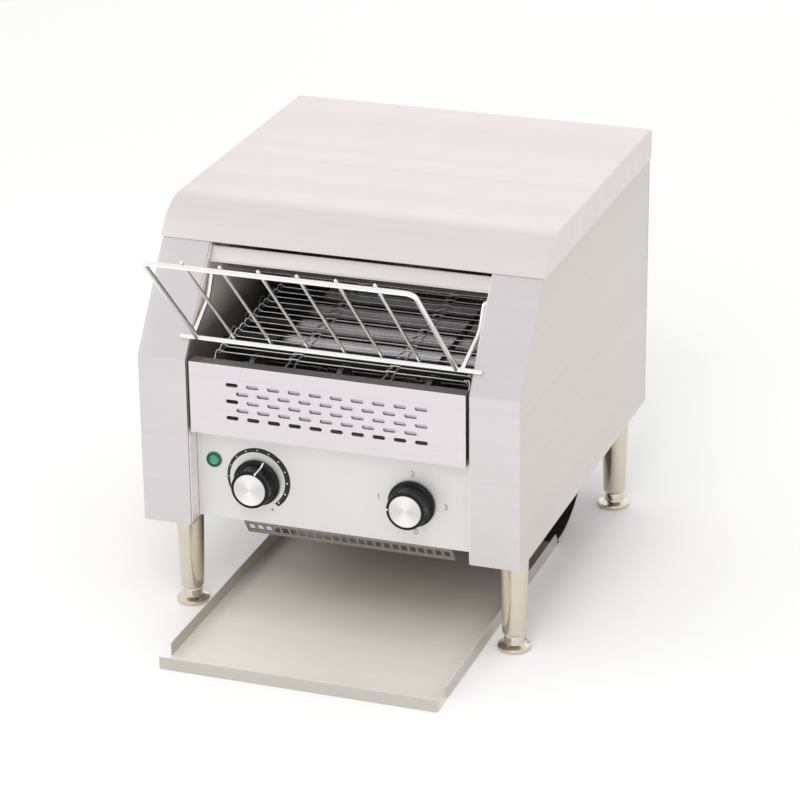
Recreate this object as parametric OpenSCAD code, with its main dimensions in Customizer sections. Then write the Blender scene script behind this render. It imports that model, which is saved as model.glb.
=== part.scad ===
// Conveyor toaster: a wire belt between two sprocket shafts, quartz heaters above and below it,
// a loading rack at the front mouth, a return chute at the rear and a catch tray on the counter.
// Working frame: x to the right, y to the rear from the towers' front face, z up from the counter.
// Every node is then moved by frame_shift, so that the origin lies at the middle of the footprint.

/* [Body] */
// Width over the side panels
body_w = 367; // [340:1:420]
// Depth from the towers' front face to the rear panel
body_d = 420; // [410:1:460]
// Width of each front tower
tower_w = 48.5; // [44:0.5:60]
// Height of the underside above the counter
under_z = 106; // [100:1:130]
// Height of the knee where the front starts to lean back, above the underside
knee_h = 164.8; // [160:0.2:175]
// Height of the leaning front, from the knee to the cover's edge
lean_h = 92.4; // [88:0.2:100]
// Depth over which the front leans back
lean_d = 67.5; // [60:0.5:75]
// Thickness of the casing sheets
sheet = 1.2; // [0.8:0.1:2]
// Thickness of the inner sheets
liner = 1; // [0.8:0.1:1.5]
// Clearance between neighbouring sheets
seat = 0.3; // [0.2:0.05:0.4]

/* [Top cover] */
// Height of the cover's side flanges
cover_flange = 29.5; // [26:0.5:40]
// Outer radius of the bend at the cover's front
cover_bend = 52; // [35:1:58]
// Depth of the returned lip under the cover's front edge
cover_lip = 6; // [3:0.5:8]

/* [Legs] */
// Distance of the leg axes from the side panels
leg_inset = 22.5; // [20:0.5:24]
// Distance of the front leg axes from the front face
leg_front = 55; // [45:1:70]
// Distance of the rear leg axes from the rear face
leg_rear = 30; // [25:1:40]
// Diameter of a leg at its top
leg_top_d = 27.8; // [24:0.2:32]
// Diameter of a leg at its foot end
leg_end_d = 22.4; // [20:0.2:24]
// Diameter of the foot's flange
foot_d = 32; // [28:0.5:38]
// Diameter of the foot's neck
neck_d = 18.5; // [15:0.5:19.5]
// Height of the foot below the leg
foot_h = 16; // [12:0.5:20]
// Diameter of the foot's screw
screw_d = 10; // [8:0.5:12]

/* [Tray] */
// Set-in of the catch tray's sides from the inner walls
tray_in = 0.5; // [0.5:0.5:10]
// How far the tray stands out in front
tray_out = 88; // [60:1:95]
// How far the tray ends in front of the chute's lowest line
tray_short = 4; // [2:0.5:6]
// How far the chute's lip reaches over the tray
chute_lap = 7; // [5:0.5:10]
// Height of the tray's front lip
tray_lip = 12.5; // [8:0.5:16]
// Height of the tray's side flanges
tray_side = 14; // [8:0.5:18]
// Notch between the front lip and a side flange
tray_notch = 27; // [15:1:40]

/* [Front panels] */
// Height of the vent panel's lower edge above the underside
vent_low = 95; // [90:1:100]
// Depth of the fold along the vent panel's top
vent_fold = 13; // [8:0.5:16]
// Side gap of the vent panel
vent_gap = 2.4; // [1.5:0.1:3]
// Length of a vent slot
slot_l = 12; // [8:0.5:14]
// Width of a vent slot
slot_w = 3.7; // [2:0.1:4]
// Spacing of the slots along a row
slot_pitch = 20.2; // [18:0.2:21]
// Spacing of the slot rows
slot_rows = 8.1; // [6:0.1:8.5]
// Set-back of the control panel behind the front face
panel_back = 17.5; // [10:0.5:20]
// Height of the control panel's lower edge above the underside
panel_low = 4; // [4:0.5:8]
// Number of openings in the air strip
strip_holes = 24; // [16:1:25]
// Spacing of those openings
strip_pitch = 8.3; // [7:0.1:8.5]

/* [Controls] */
// Distance of the knob axes from the inner walls
knob_in = 59.5; // [52:0.5:64]
// Height of the knob axes above the underside
knob_h = 45; // [40:1:55]
// Diameter of a knob at the panel
knob_d = 45; // [38:0.5:48]
// Diameter of a knob at its front
knob_front_d = 35; // [32:0.5:38]
// How far a knob stands out of the panel
knob_l = 20.5; // [18:0.5:30]
// Diameter of a knob's metal cap
knob_cap_d = 31; // [26:0.5:31.5]
// Number of grip flutes round a knob
knob_flutes = 20; // [12:1:28]
// Diameter of the knob spindles
spindle_d = 6; // [5:0.5:7]
// Distance of the pilot lamp from the inner wall
lamp_in = 17; // [12:1:22]
// Height of the pilot lamp above the underside
lamp_h = 62; // [50:0.5:75]
// Diameter of the pilot lamp's bezel
lamp_d = 15; // [12:0.5:18]

/* [Conveyor belt] */
// Spacing of the belt's strands
belt_pitch = 12; // [11.8:0.05:12.2]
// Number of strands round each pair of half wraps
wrap_teeth = 10; // [10:2:10]
// Depth of the drop behind the belt's rear shaft
rear_drop = 80; // [78:1:92]
// Clearance between the belt's edges and the inner walls
belt_in = 11; // [9:1:20]
// Distance of the link columns from the belt's middle
column_x = 47; // [40:1:52]
// Thickness of the belt wire
belt_wire = 1.6; // [1.4:0.1:1.6]
// Rise of the belt to the rear, in degrees
belt_rise = 2.7; // [2:0.1:3]
// Distance of the front shaft behind the front face
shaft_y = 46; // [44:0.5:50]
// Height of the front shaft above the underside
shaft_h = 139.1; // [138:0.1:141]
// Diameter of the shafts
shaft_d = 12; // [10:0.5:13]
// Running clearance of every shaft and spindle, on the radius
run_fit = 0.05; // [0.02:0.01:0.08]

/* [Heaters] */
// Diameter of the quartz tubes
tube_d = 12; // [10:0.5:12.5]
// Number of lower tubes
lower_tubes_n = 4; // [3:1:4]
// Number of upper tubes
upper_tubes_n = 3; // [2:1:4]
// Spacing of the lower tubes
lower_pitch = 37; // [30:1:40]
// Spacing of the upper tubes
upper_pitch = 55; // [40:1:60]
// Distance of the first tubes behind the front face
tube_y = 113; // [108:1:118]
// Height of the upper tubes' axes above the front shaft
upper_tube_h = 84; // [80:1:88]

/* [Loading rack] */
// Diameter of the rack's frame wire
rack_wire = 4.6; // [4:0.1:5]
// Diameter of the rack's cross wires
rack_thin = 3; // [2.4:0.1:3.4]
// Length of the leaning basket
rack_l = 157; // [120:1:165]
// Lean of the basket, in degrees
rack_lean = 45; // [40:1:50]
// Set-in of the basket's side wires from the inner walls
rack_in = 11; // [11:1:20]
// Sideways offset of the basket
rack_side = -3.4; // [-3.4:0.1:0]
// Number of cross wires
rack_wires = 6; // [4:1:8]
// Height of the bottom rod above the knee
rod_h = 19.5; // [16:0.5:24]
// How far the bottom rod reaches past the inner walls
rod_over = 10; // [7:0.5:15]

/* [Drive] */
// Pitch of the drive chain
chain_pitch = 6.35; // [6.35]
// Teeth on the motor's sprocket
motor_teeth = 10; // [10:1:11]
// Teeth on the belt shaft's sprocket
drive_teeth = 16; // [15:1:17]
// Number of links in the drive chain
chain_links = 60; // [60:2:60]
// Slope of the chain from the motor up to the belt's shaft, in degrees
chain_slope = 44.3; // [43:0.1:46]
// Diameter of the motor's shaft
motor_shaft_d = 8; // [6:0.5:9]
// Width of the cooling fan's frame
fan_w = 80; // [70:1:84]
// Number of fan blades
fan_blades = 7; // [5:1:9]

/* [Hidden] */
$fn = 48;
eps = 0.01;

// ---- shared places ------------------------------------------------------
half_w = body_w / 2;
wall_x = half_w - tower_w;            // inner face of the inner walls
wall_out = wall_x + liner;            // their outer face
knee_z = under_z + knee_h;
seam_z = knee_z + lean_h;
lean_a = atan2(lean_h, lean_d);       // slope of the leaning front
lean_in = [0, sin(lean_a), -cos(lean_a)];
cover_z = seam_z + cover_flange;
cover_w = body_w + 2 * (sheet + seat);
cover_back = body_d + seat + sheet;
inner_w = 2 * (wall_x - seat);        // width of what fits between the inner walls
inner_back = body_d - 18;             // rear face of the return chute
chute_r = 110;
chute_y = inner_back - chute_r;       // axis of the chute's bend
chute_low = liner + seat + liner;     // lowest point of the chute's upper face
deck_z = under_z + 99;                // top of the electrical compartment
deck_back = chute_y - 6;              // rear of the electrical compartment
floor_z = under_z + 2;                // underside of the compartment floor
belt_w = 2 * (wall_x - belt_in);
belt_run = round((inner_back - rear_drop - shaft_y) / belt_pitch);   // pitches along the upper run
tray_w = 2 * (wall_x - tray_in);
tray_back = chute_y - tray_short;
rack_w = 2 * (wall_x - rack_in);
rod_l = 2 * (wall_x + rod_over);
knob_x = wall_x - knob_in;
lamp_x = wall_x - lamp_in;
panel_z = under_z + panel_low;
knob_z = under_z + knob_h;
belt_a = belt_rise;
wire_gap = 0.25;
strand_tip = belt_wire * 1.25;        // how high a link passes over its neighbour
wrap_r = belt_pitch / (2 * sin(180 / wrap_teeth));
front_axis = [0, shaft_y, under_z + shaft_h];
run_dir = [0, cos(belt_a), sin(belt_a)];
run_up = [0, -sin(belt_a), cos(belt_a)];
rear_axis = front_axis + run_dir * belt_run * belt_pitch;
rail_d = 5;
rail_drop = belt_wire / 2 + seat + rail_d / 2;
bar_d = 6;
lower_tube_drop = belt_wire / 2 + seat + rail_d + 1 + tube_d / 2;
leg_x = half_w - leg_inset;
leg_ys = [leg_front, body_d - leg_rear];
elbow_lap = 0.5;                      // how far a wire runs into its bend
elbow_swell = 0.1;                    // how much fuller the bend is
rod_z = knee_z + rod_h;
rod_r = rack_wire / 2 + 0.15;         // a little fuller than the wires welded to it
rod_y = rod_h * lean_d / lean_h - (rod_r + seat) / sin(lean_a);
stay_x = wall_x - seat - 1.3 - rack_wire / 2;
stay_pivot = [0, lean_d - 9.5, seam_z - 25.7];
stay_knee = [0, rod_y + 36, rod_z + 25];
chute_half = tray_w / 2 - liner - 1;
rack_top_y = rod_y - rack_l * cos(rack_lean) - rack_wire / 2 - elbow_swell;
gland_out = 7;
frame_shift = [0, -(rack_top_y + cover_back + gland_out) / 2, 0];

// ---- helpers ------------------------------------------------------------
function unit(v) = v / norm(v);
function lean_y(z) = max(0, (z - knee_z) / tan(lean_a));
function run_z(y) = front_axis.z + (y - front_axis.y) * tan(belt_a) + wrap_r / cos(belt_a);

// Moves a node from the working frame to the model's own frame.
module placed() {
    translate(frame_shift) children();
}

// The child at its place, and its mirror image on the other side.
module both_sides() {
    children();
    mirror([1, 0, 0]) children();
}

// An outline drawn in y and z, as a plate of thickness t that starts at x.
module side_plate(x, t) {
    translate([x, 0, 0])
        rotate([90, 0, 90])
            linear_extrude(t)
                children();
}

// A box from its two corners.
module block(low, high) {
    translate(low) cube(high - low);
}

// A pin along x, from x0 to x1, on the axis through point c.
module pin_x(c, x0, x1, r) {
    translate([x0, c.y, c.z])
        rotate([0, 90, 0])
            cylinder(h = x1 - x0, r = r);
}

// A pin along y.
module pin_y(c, y0, y1, r) {
    translate([c.x, y0, c.z])
        rotate([-90, 0, 0])
            cylinder(h = y1 - y0, r = r);
}

// A straight piece of round wire between two points.
module wire(p, q, r) {
    run = q - p;
    long = norm(run);
    translate(p)
        rotate([0, acos(run.z / long), atan2(run.y, run.x)])
            cylinder(h = long, r = r);
}

// How far before a corner a bend of the given radius starts.
function turn_at(a, b, c) = acos(unit(b - a) * unit(c - b));
function setback(a, b, c, bend) = bend * tan(turn_at(a, b, c) / 2);

// The round part of a bent wire at corner b, a little fuller than the wire that runs into it.
module elbow(a, b, c, bend, r) {
    along = unit(b - a);
    start = b - along * setback(a, b, c, bend);
    centre = b + unit(unit(c - b) - along) * bend / cos(turn_at(a, b, c) / 2);
    out = unit(start - centre);
    turn = cross(out, along);
    multmatrix([[out.x, along.x, turn.x, centre.x],
                [out.y, along.y, turn.y, centre.y],
                [out.z, along.z, turn.z, centre.z]])
        rotate_extrude(angle = turn_at(a, b, c))
            translate([bend, 0])
                circle(r);
}

// A wire bent at the corners of a list of points.
module bent_wire(points, r, bends) {
    last = len(points) - 1;
    for (i = [0:last - 1]) {
        a = points[i];
        b = points[i + 1];
        from = i == 0 ? 0 : setback(points[i - 1], a, b, bends[i - 1]) - elbow_lap;
        to = i == last - 1 ? 0 : setback(a, b, points[i + 2], bends[i]) - elbow_lap;
        wire(a + unit(b - a) * from, b - unit(b - a) * to, r);
    }
    for (i = [1:last - 1])
        elbow(points[i - 1], points[i], points[i + 1], bends[i - 1], r + elbow_swell);
}

// A slot with round ends, centred on the origin along x.
module slot(l, w) {
    square([l - w, w], center = true);
    translate([(w - l) / 2, 0]) circle(d = w);
    translate([(l - w) / 2, 0]) circle(d = w);
}

// The band on both sides of a path of flat points, w wide, with mitred corners.
function side_of(path, i, w) =
    let (last = len(path) - 1,
         a = unit(path[max(i, 1)] - path[max(i, 1) - 1]),
         b = unit(path[min(i, last - 1) + 1] - path[min(i, last - 1)]),
         m = unit([-a.y - b.y, a.x + b.x]))
    path[i] + m * (w / 2) / (m * [-a.y, a.x]);
function band(path, w) = concat(
    [for (i = [0:len(path) - 1]) side_of(path, i, w)],
    [for (i = [len(path) - 1:-1:0]) side_of(path, i, -w)]);

// ---- casing ------------------------------------------------------------
// Side view of the body, drawn in y and z, set in by t from the front.
module body_outline(t, low, high, back) {
    bend = t * tan((90 - lean_a) / 2);
    top_y = lean_y(high) + t / sin(lean_a);
    polygon([[t, low], [t, knee_z + bend], [top_y, high], [back, high], [back, low]]);
}

// Top edge of the side panels: where the inside of the cover's front bend starts
panel_top = cover_z - sheet - (cover_bend - sheet) * (1 - cos(lean_a));
panel_flange = 16;                    // width of their folded rear edges

// Outer side sheet with its bent front and folded rear edge.
module side_panel() {
    back = body_d - sheet - seat;
    difference() {
        side_plate(wall_x, tower_w) body_outline(0, under_z, panel_top, back);
        side_plate(wall_x - 1, tower_w + 1 - sheet)
            body_outline(sheet, under_z - 1, panel_top + 1, back - sheet);
        block([wall_x - 1, body_d / 2, under_z - 1],
              [half_w - panel_flange, body_d + 1, panel_top + 1]);
    }
}

module side_panel_left() { color([0.90, 0.89, 0.89]) placed() mirror([1, 0, 0]) side_panel(); }
module side_panel_right() { color([0.86, 0.84, 0.82]) placed() side_panel(); }

// Inner wall of a tower, with the holes of everything that crosses it.
module inner_wall(motor_side) {
    low = floor_z + 0.2;
    difference() {
        side_plate(wall_x, liner)
            body_outline(sheet + seat, low, panel_top, inner_back + 1);
        for (c = [front_axis, rear_axis]) pin_x(c, wall_x - 1, wall_out + 1, bush_hub_r + eps);
        for (c = concat(lower_spots, upper_spots))
            pin_x(c, wall_x - 1, wall_out + 1, cap_neck_r + seat);
        for (c = bar_spots) pin_x(c, wall_x - 1, wall_out + 1, bar_d / 2 + run_fit);
        pin_x(stay_pivot, wall_x - 1, wall_out + 1, rack_wire / 2 + run_fit);
        if (motor_side) pin_x(motor_axis, wall_x - 1, wall_out + 1, motor_boss_r + seat);
    }
}

module inner_wall_left() {
    color([0.45, 0.42, 0.38]) placed() mirror([1, 0, 0]) inner_wall(false);
}
module inner_wall_right() { color([0.45, 0.42, 0.38]) placed() inner_wall(true); }

// Plate that closes a tower below and carries its two legs.
module tower_base() {
    difference() {
        block([wall_x, sheet + seat, under_z],
              [half_w - sheet - seat, body_d - 2 * sheet - 2 * seat, floor_z]);
        for (y = leg_ys) translate([leg_x, y, under_z - 1])
            cylinder(h = floor_z - under_z + 2, r = stud_r + seat);
    }
}
module tower_base_left() { color([0.6, 0.6, 0.6]) placed() mirror([1, 0, 0]) tower_base(); }
module tower_base_right() { color([0.6, 0.6, 0.6]) placed() tower_base(); }

// Side view of the cover, set in by t: the leaning front, a round bend in steps, and the flat top.
module cover_outline(t, low, back) {
    off = sheet + seat - t;
    r = cover_bend - t;
    top = cover_z - t;
    bend_z = top - r * (1 - cos(lean_a));
    centre = [lean_y(bend_z) - off / sin(lean_a) + r * sin(lean_a), top - r];
    steps = 24;
    polygon(concat([[lean_y(low) - off / sin(lean_a), low]],
                   [for (i = [0:steps]) let (a = lean_a * (1 - i / steps)) centre + r * [-sin(a), cos(a)]],
                   [[back, top], [back, low]]));
}

module top_cover() {
    lip_y = lean_y(seam_z) - (sheet + seat) / sin(lean_a);
    color([0.88, 0.86, 0.85]) placed() {
        difference() {
            side_plate(-cover_w / 2, cover_w) cover_outline(0, seam_z, cover_back);
            side_plate(-cover_w / 2 + sheet, cover_w - 2 * sheet)
                cover_outline(sheet, seam_z - 1, cover_back - sheet);
        }
        block([-wall_x + 3, lip_y + sheet / 2, seam_z], [wall_x - 3, lip_y + cover_lip, seam_z + sheet]);
    }
}

louvre_l = 46;
louvre_w = 5;
louvre_x = wall_x - 73;
rear_screw_z = [under_z + 12, under_z + 130, seam_z - 12];

module rear_panel() {
    half = half_w - seat;
    color([0.80, 0.79, 0.78]) placed()
        difference() {
            block([-half, body_d - sheet, under_z], [half, body_d, seam_z + 20]);
            for (side = [-1, 1], row = [0:7])
                translate([side * louvre_x, body_d - sheet - 1, seam_z - 36 - row * 12])
                    rotate([-90, 0, 0])
                        linear_extrude(sheet + 2)
                            slot(louvre_l, louvre_w);
            pin_y([gland_x, 0, gland_z], body_d - sheet - 1, body_d + 1, gland_r + run_fit);
            for (side = [-1, 1], z = rear_screw_z)
                pin_y([side * rear_screw_x, 0, z], body_d - sheet - 1, body_d + 1, screw_r + seat / 2);
        }
}

screw_r = 2;
screw_head_r = 3.6;
rear_screw_x = half_w - 9;
// Cross-slotted pan-head screw along +z, its head on z = 0.
module pan_screw(grip) {
    difference() {
        union() {
            translate([0, 0, -grip]) cylinder(h = grip + 0.2, r = screw_r);
            cylinder(h = 1.2, r = screw_head_r);
            translate([0, 0, 1.2 - eps]) cylinder(h = 1, r1 = screw_head_r, r2 = screw_head_r - 1.4);
        }
        for (a = [0, 90]) rotate(a) translate([-0.4, -2, 1]) cube([0.8, 4, 2]);
    }
}

// Rear panel screws, and the hexagon nuts that hold the legs on the tower bases.
module fasteners() {
    color([0.7, 0.7, 0.7]) placed() {
        for (side = [-1, 1], z = rear_screw_z)
            translate([side * rear_screw_x, body_d, z]) rotate([-90, 0, 0]) pan_screw(sheet + 0.2);
        for (x = [-leg_x, leg_x], y = leg_ys)
            translate([x, y, floor_z])
                difference() {
                    cylinder(h = 5, r = 6.5, $fn = 6);
                    translate([0, 0, -1]) cylinder(h = 7, r = stud_r + run_fit);
                }
    }
}

// ---- front panels ---------------------------------------------------------
vent_half = wall_x - vent_gap;
vent_low_z = under_z + vent_low;
slot_mid_z = knee_z - 34.8;           // height of the middle row of slots

module front_vent_panel() {
    color([0.90, 0.88, 0.90]) placed() {
        difference() {
            block([-vent_half, 0, vent_low_z], [vent_half, liner, knee_z]);
            for (row = [-2:2])
                for (i = [0:9 - (row + 2) % 2]) {
                    count = 10 - (row + 2) % 2;
                    translate([(i - (count - 1) / 2) * slot_pitch, liner + 1,
                               slot_mid_z + row * slot_rows])
                        rotate([90, 0, 0])
                            linear_extrude(liner + 2)
                                slot(slot_l, slot_w);
                }
        }
        block([-vent_half, 0, knee_z - liner], [vent_half, vent_fold, knee_z]);
        block([-vent_half, 0, vent_low_z], [vent_half, panel_back + panel_lip / 2, vent_low_z + liner]);
        for (side = [-1, 1])
            block([side * (vent_half - liner / 2) - liner / 2, 0, vent_low_z],
                  [side * (vent_half - liner / 2) + liner / 2, vent_fold, knee_z]);
    }
}

// Grey plate close behind the upper rows of slots.
module vent_baffle() {
    back = liner + 1;
    color([0.62, 0.60, 0.64]) placed() {
        block([-4.35 * slot_pitch + 2, back, slot_mid_z - 1.6 * slot_rows],
              [vent_half - liner - seat, back + liner, knee_z - liner - seat]);
    }
}

module control_panel() {
    half = wall_x - seat;
    top = vent_low_z - seat;
    color([0.878, 0.878, 0.87]) placed()
        difference() {
            union() {
                block([-half, panel_back, panel_z], [half, panel_back + liner, top]);
                block([-half, panel_back, panel_z], [half, panel_back + panel_lip, panel_z + liner]);
                block([-half, panel_back, top - liner], [half, panel_back + panel_lip, top]);
            }
            for (side = [-1, 1])
                pin_y([side * knob_x, 0, knob_z], panel_back - 1, panel_back + 2, neck_bush_r + run_fit);
            pin_y(lamp_c, panel_back - 1, panel_back + 2, lamp_body_r + run_fit);
        }
}

// Perforated sheet that leans back under the control panel.
strip_l = strip_holes * strip_pitch + 4;
strip_x = 44.5 - wall_x;              // left end of the air strip
strip_a = 35;
strip_h = 19;
panel_lip = 12;                       // depth of the control panel's folded edges
module air_strip() {
    top_y = panel_back + 0.4;
    top_z = panel_z - seat;
    color([0.45, 0.43, 0.40]) placed() {
        translate([strip_x, top_y, top_z - liner * sin(strip_a)])
            rotate([strip_a, 0, 0])
                difference() {
                    translate([0, 0, -strip_h]) cube([strip_l, liner, strip_h]);
                    for (i = [0:strip_holes - 1])
                        translate([2 + (i + 0.5) * strip_pitch - 2.9, -1, -strip_h + 6])
                            cube([5.8, liner + 2, 8.5]);
                }
        block([strip_x, top_y, top_z - liner], [strip_x + strip_l, panel_back + panel_lip, top_z]);
    }
}

// Bent sheet under the cover's lip, across the top of the mouth.
module upper_front_strip() {
    recess = 5;
    low_z = seam_z - 14.5;
    strip = 15.5;
    start = [0, lean_y(low_z), low_z] + lean_in * recess;
    color([0.84, 0.83, 0.82]) placed() {
        translate([-inner_w / 2, start.y, start.z])
            rotate([lean_a - 90, 0, 0])
                cube([inner_w, sheet, strip]);
        block([-inner_w / 2, start.y + 0.3, start.z], [inner_w / 2, start.y + 16, start.z + sheet]);
    }
}

// ---- electrical compartment ------------------------------------------------
module compartment_shell() {
    half = inner_w / 2;
    front = max(panel_back + liner, vent_fold) + seat;
    color([0.55, 0.54, 0.53]) placed() {
        block([-half, front, deck_z - liner], [half, deck_back, deck_z]);
        block([-half, deck_back - liner, floor_z + liner + seat], [half, deck_back, deck_z]);
    }
}

fan_in = 73;                          // distance of the fan's axis from the inner wall
fan_ahead = 136;                      // and in front of the compartment's rear
fan_c = [fan_in - wall_x, deck_back - fan_ahead];
module compartment_floor() {
    half = inner_w / 2;
    color([0.55, 0.54, 0.53]) placed()
        difference() {
            block([-half, panel_back + panel_lip + seat, floor_z], [half, deck_back, floor_z + liner]);
            for (ring = [1:3], k = [0:ring * 6 - 1])
                translate([fan_c.x, fan_c.y, floor_z - 1])
                    rotate(k * 60 / ring)
                        translate([ring * 11, 0, 0])
                            cylinder(h = liner + 2, r = 3.2);
        }
}

// ---- rear chute and tray ---------------------------------------------------
// Side view of the chute: a quarter bend from the tray's floor up to a straight back.
module return_chute() {
    centre = [chute_y, chute_low + chute_r - liner];
    top = rear_axis.z + 40;
    lip = asin((tray_short + chute_lap) / chute_r);
    color([0.20, 0.18, 0.17]) placed() {
        difference() {
            side_plate(-chute_half, 2 * chute_half)
                intersection() {
                    difference() {
                        translate(centre) circle(r = chute_r, $fn = 128);
                        translate(centre) circle(r = chute_r - liner, $fn = 128);
                    }
                    polygon([centre, centre + [2 * chute_r, 0], centre + [2 * chute_r, -2 * chute_r],
                             centre + 2 * chute_r * [-sin(lip), -cos(lip)]]);
                }
        }
        block([-chute_half, inner_back - liner, centre.y - eps], [chute_half, inner_back, under_z + 16]);
        block([-inner_w / 2, inner_back - liner, under_z + 16 - eps], [inner_w / 2, inner_back, top]);
    }
}

module tray() {
    half = tray_w / 2;
    front = -tray_out;
    side_from = front + tray_notch;
    side_to = tray_back - 9;
    color([0.70, 0.68, 0.65]) placed() {
        block([-half, front, 0], [half, tray_back, liner]);
        block([-half, front, 0], [half, front + liner, tray_lip]);
        both_sides()
            side_plate(half - liner, liner)
                polygon([[side_from, 0], [side_from, tray_side - 1], [side_from + 1, tray_side],
                         [side_to - 5, tray_side], [side_to, tray_side - 6], [side_to, 0]]);
    }
}

// ---- legs and feet -----------------------------------------------------------
stud_r = 3;
stud_l = 9;
module leg(x, y) {
    bore_h = 34;
    translate([x, y, 0])
        difference() {
            union() {
                translate([0, 0, foot_h + 2])
                    cylinder(h = under_z - foot_h - 2, r1 = leg_end_d / 2, r2 = leg_top_d / 2);
                translate([0, 0, foot_h])
                    cylinder(h = 2 + eps, r1 = leg_end_d / 2 - 1, r2 = leg_end_d / 2);
                translate([0, 0, under_z - eps]) cylinder(h = stud_l, r = stud_r);
            }
            translate([0, 0, foot_h - 1])
                cylinder(h = bore_h + 1, r = screw_d / 2 + run_fit);
        }
}

module foot(x, y) {
    rim = 1.2;
    translate([x, y, 0]) {
        cylinder(h = rim, r1 = foot_d / 2 - 0.8, r2 = foot_d / 2);
        translate([0, 0, rim - eps]) cylinder(h = 2.6, r = foot_d / 2);
        translate([0, 0, rim + 2.5])
            cylinder(h = 1.6, r1 = foot_d / 2, r2 = neck_d / 2 + 1);
        translate([0, 0, rim + 2]) cylinder(h = foot_h - rim - 2 - 1.5, r = neck_d / 2);
        translate([0, 0, foot_h - 1.5 - eps])
            cylinder(h = 1.5, r1 = neck_d / 2, r2 = neck_d / 2 - 1.2);
        translate([0, 0, foot_h - 1]) cylinder(h = 31, r = screw_d / 2);
    }
}

module leg_front_left() { color([0.80, 0.76, 0.68]) placed() leg(-leg_x, leg_ys[0]); }
module leg_front_right() { color([0.80, 0.76, 0.68]) placed() leg(leg_x, leg_ys[0]); }
module leg_rear_left() { color([0.80, 0.76, 0.68]) placed() leg(-leg_x, leg_ys[1]); }
module leg_rear_right() { color([0.80, 0.76, 0.68]) placed() leg(leg_x, leg_ys[1]); }
module foot_front_left() { color([0.76, 0.72, 0.64]) placed() foot(-leg_x, leg_ys[0]); }
module foot_front_right() { color([0.76, 0.72, 0.64]) placed() foot(leg_x, leg_ys[0]); }
module foot_rear_left() { color([0.76, 0.72, 0.64]) placed() foot(-leg_x, leg_ys[1]); }
module foot_rear_right() { color([0.76, 0.72, 0.64]) placed() foot(leg_x, leg_ys[1]); }

// ---- conveyor belt ------------------------------------------------------------
// One strand, drawn flat: x across the belt and y back over the strand before it. The wire steps
// back at each link column and at both edges, hooks over its neighbour and returns.
link_in = 2.6;
link_out = 4.7;
link_reach = belt_pitch + belt_wire * 1.15;
function link(x) = [[x - link_in, 0], [x - link_out, link_reach],
                    [x + link_out, link_reach], [x + link_in, 0]];
strand_path = concat(
    [[-belt_w / 2 + 6, link_reach], [-belt_w / 2 + belt_wire / 2, link_reach], [-belt_w / 2 + 3.2, 0]],
    link(-column_x), link(column_x),
    [[belt_w / 2 - 3.2, 0], [belt_w / 2 - belt_wire / 2, link_reach], [belt_w / 2 - 6, link_reach]]);
link_tilt = asin(strand_tip / link_reach) + 0.9;

// Places of the strands in turn: upper run, rear wrap, lower run, front wrap.
function on_wrap(c, a) = c + wrap_r * [0, cos(a + belt_a), sin(a + belt_a)];
tooth_a = 360 / wrap_teeth;
strand_spots = concat(
    [for (k = [0:belt_run]) front_axis + run_up * wrap_r + run_dir * k * belt_pitch],
    [for (k = [1:wrap_teeth / 2 - 1]) on_wrap(rear_axis, 90 - k * tooth_a)],
    [for (k = [0:belt_run]) rear_axis - run_up * wrap_r - run_dir * k * belt_pitch],
    [for (k = [1:wrap_teeth / 2 - 1]) on_wrap(front_axis, -90 - k * tooth_a)]);

module conveyor_belt() {
    count = len(strand_spots);
    color([0.62, 0.61, 0.60]) placed()
        for (i = [0:count - 1]) {
            here = strand_spots[i];
            before = strand_spots[(i + count - 1) % count];
            back = before - here;
            translate(here)
                rotate([atan2(back.z, back.y) - link_tilt, 0, 0])
                    linear_extrude(belt_wire, center = true)
                        polygon(band(strand_path, belt_wire));
        }
}

// ---- shafts, sprockets and bearings ---------------------------------------------
sprocket_t = 5;
tooth_tip = wrap_r + 0.6;
module belt_sprockets(c) {
    groove = belt_wire / 2 * sqrt(2) + wire_gap;
    for (x = [-1, 0, 1] * (column_x + belt_w / 2) / 2)
        translate([x - sprocket_t / 2, c.y, c.z])
            rotate([90, 0, 90])
                linear_extrude(sprocket_t)
                    difference() {
                        circle(r = tooth_tip, $fn = 96);
                        circle(r = shaft_d / 2 + run_fit / 2);
                        for (k = [0:wrap_teeth - 1]) rotate(90 + belt_a + k * tooth_a) {
                            translate([wrap_r, 0]) circle(r = groove, $fn = 24);
                            translate([wrap_r, -groove]) square([4, 2 * groove]);
                        }
                        for (k = [0:4]) rotate(90 + belt_a + (k + 0.5) * 72)
                            translate([(shaft_d / 2 + wrap_r) / 2, 0]) circle(r = 2.6);
                    }
}

bush_hub_r = shaft_d / 2 + 3;
chain_x = wall_out + 16;
module drive_shaft() {
    color([0.7, 0.7, 0.7]) placed() pin_x(rear_axis, -wall_out - 10, chain_x + 10, shaft_d / 2);
}
module idler_shaft() {
    color([0.7, 0.7, 0.7]) placed() pin_x(front_axis, -wall_out - 10, wall_out + 10, shaft_d / 2);
}
module drive_sprockets() { color([0.5, 0.5, 0.5]) placed() belt_sprockets(rear_axis); }
module idler_sprockets() { color([0.5, 0.5, 0.5]) placed() belt_sprockets(front_axis); }

// Flanged bushes in the inner walls, two for each shaft.
module shaft_bushes() {
    color([0.72, 0.60, 0.36]) placed()
        both_sides()
            for (c = [front_axis, rear_axis])
                difference() {
                    union() {
                        pin_x(c, wall_x - 2, wall_out + 1, bush_hub_r - run_fit);
                        pin_x(c, wall_out, wall_out + 3, bush_hub_r + 4);
                    }
                    pin_x(c, wall_x - 3, wall_out + 4, shaft_d / 2 + run_fit);
                }
}

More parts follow.
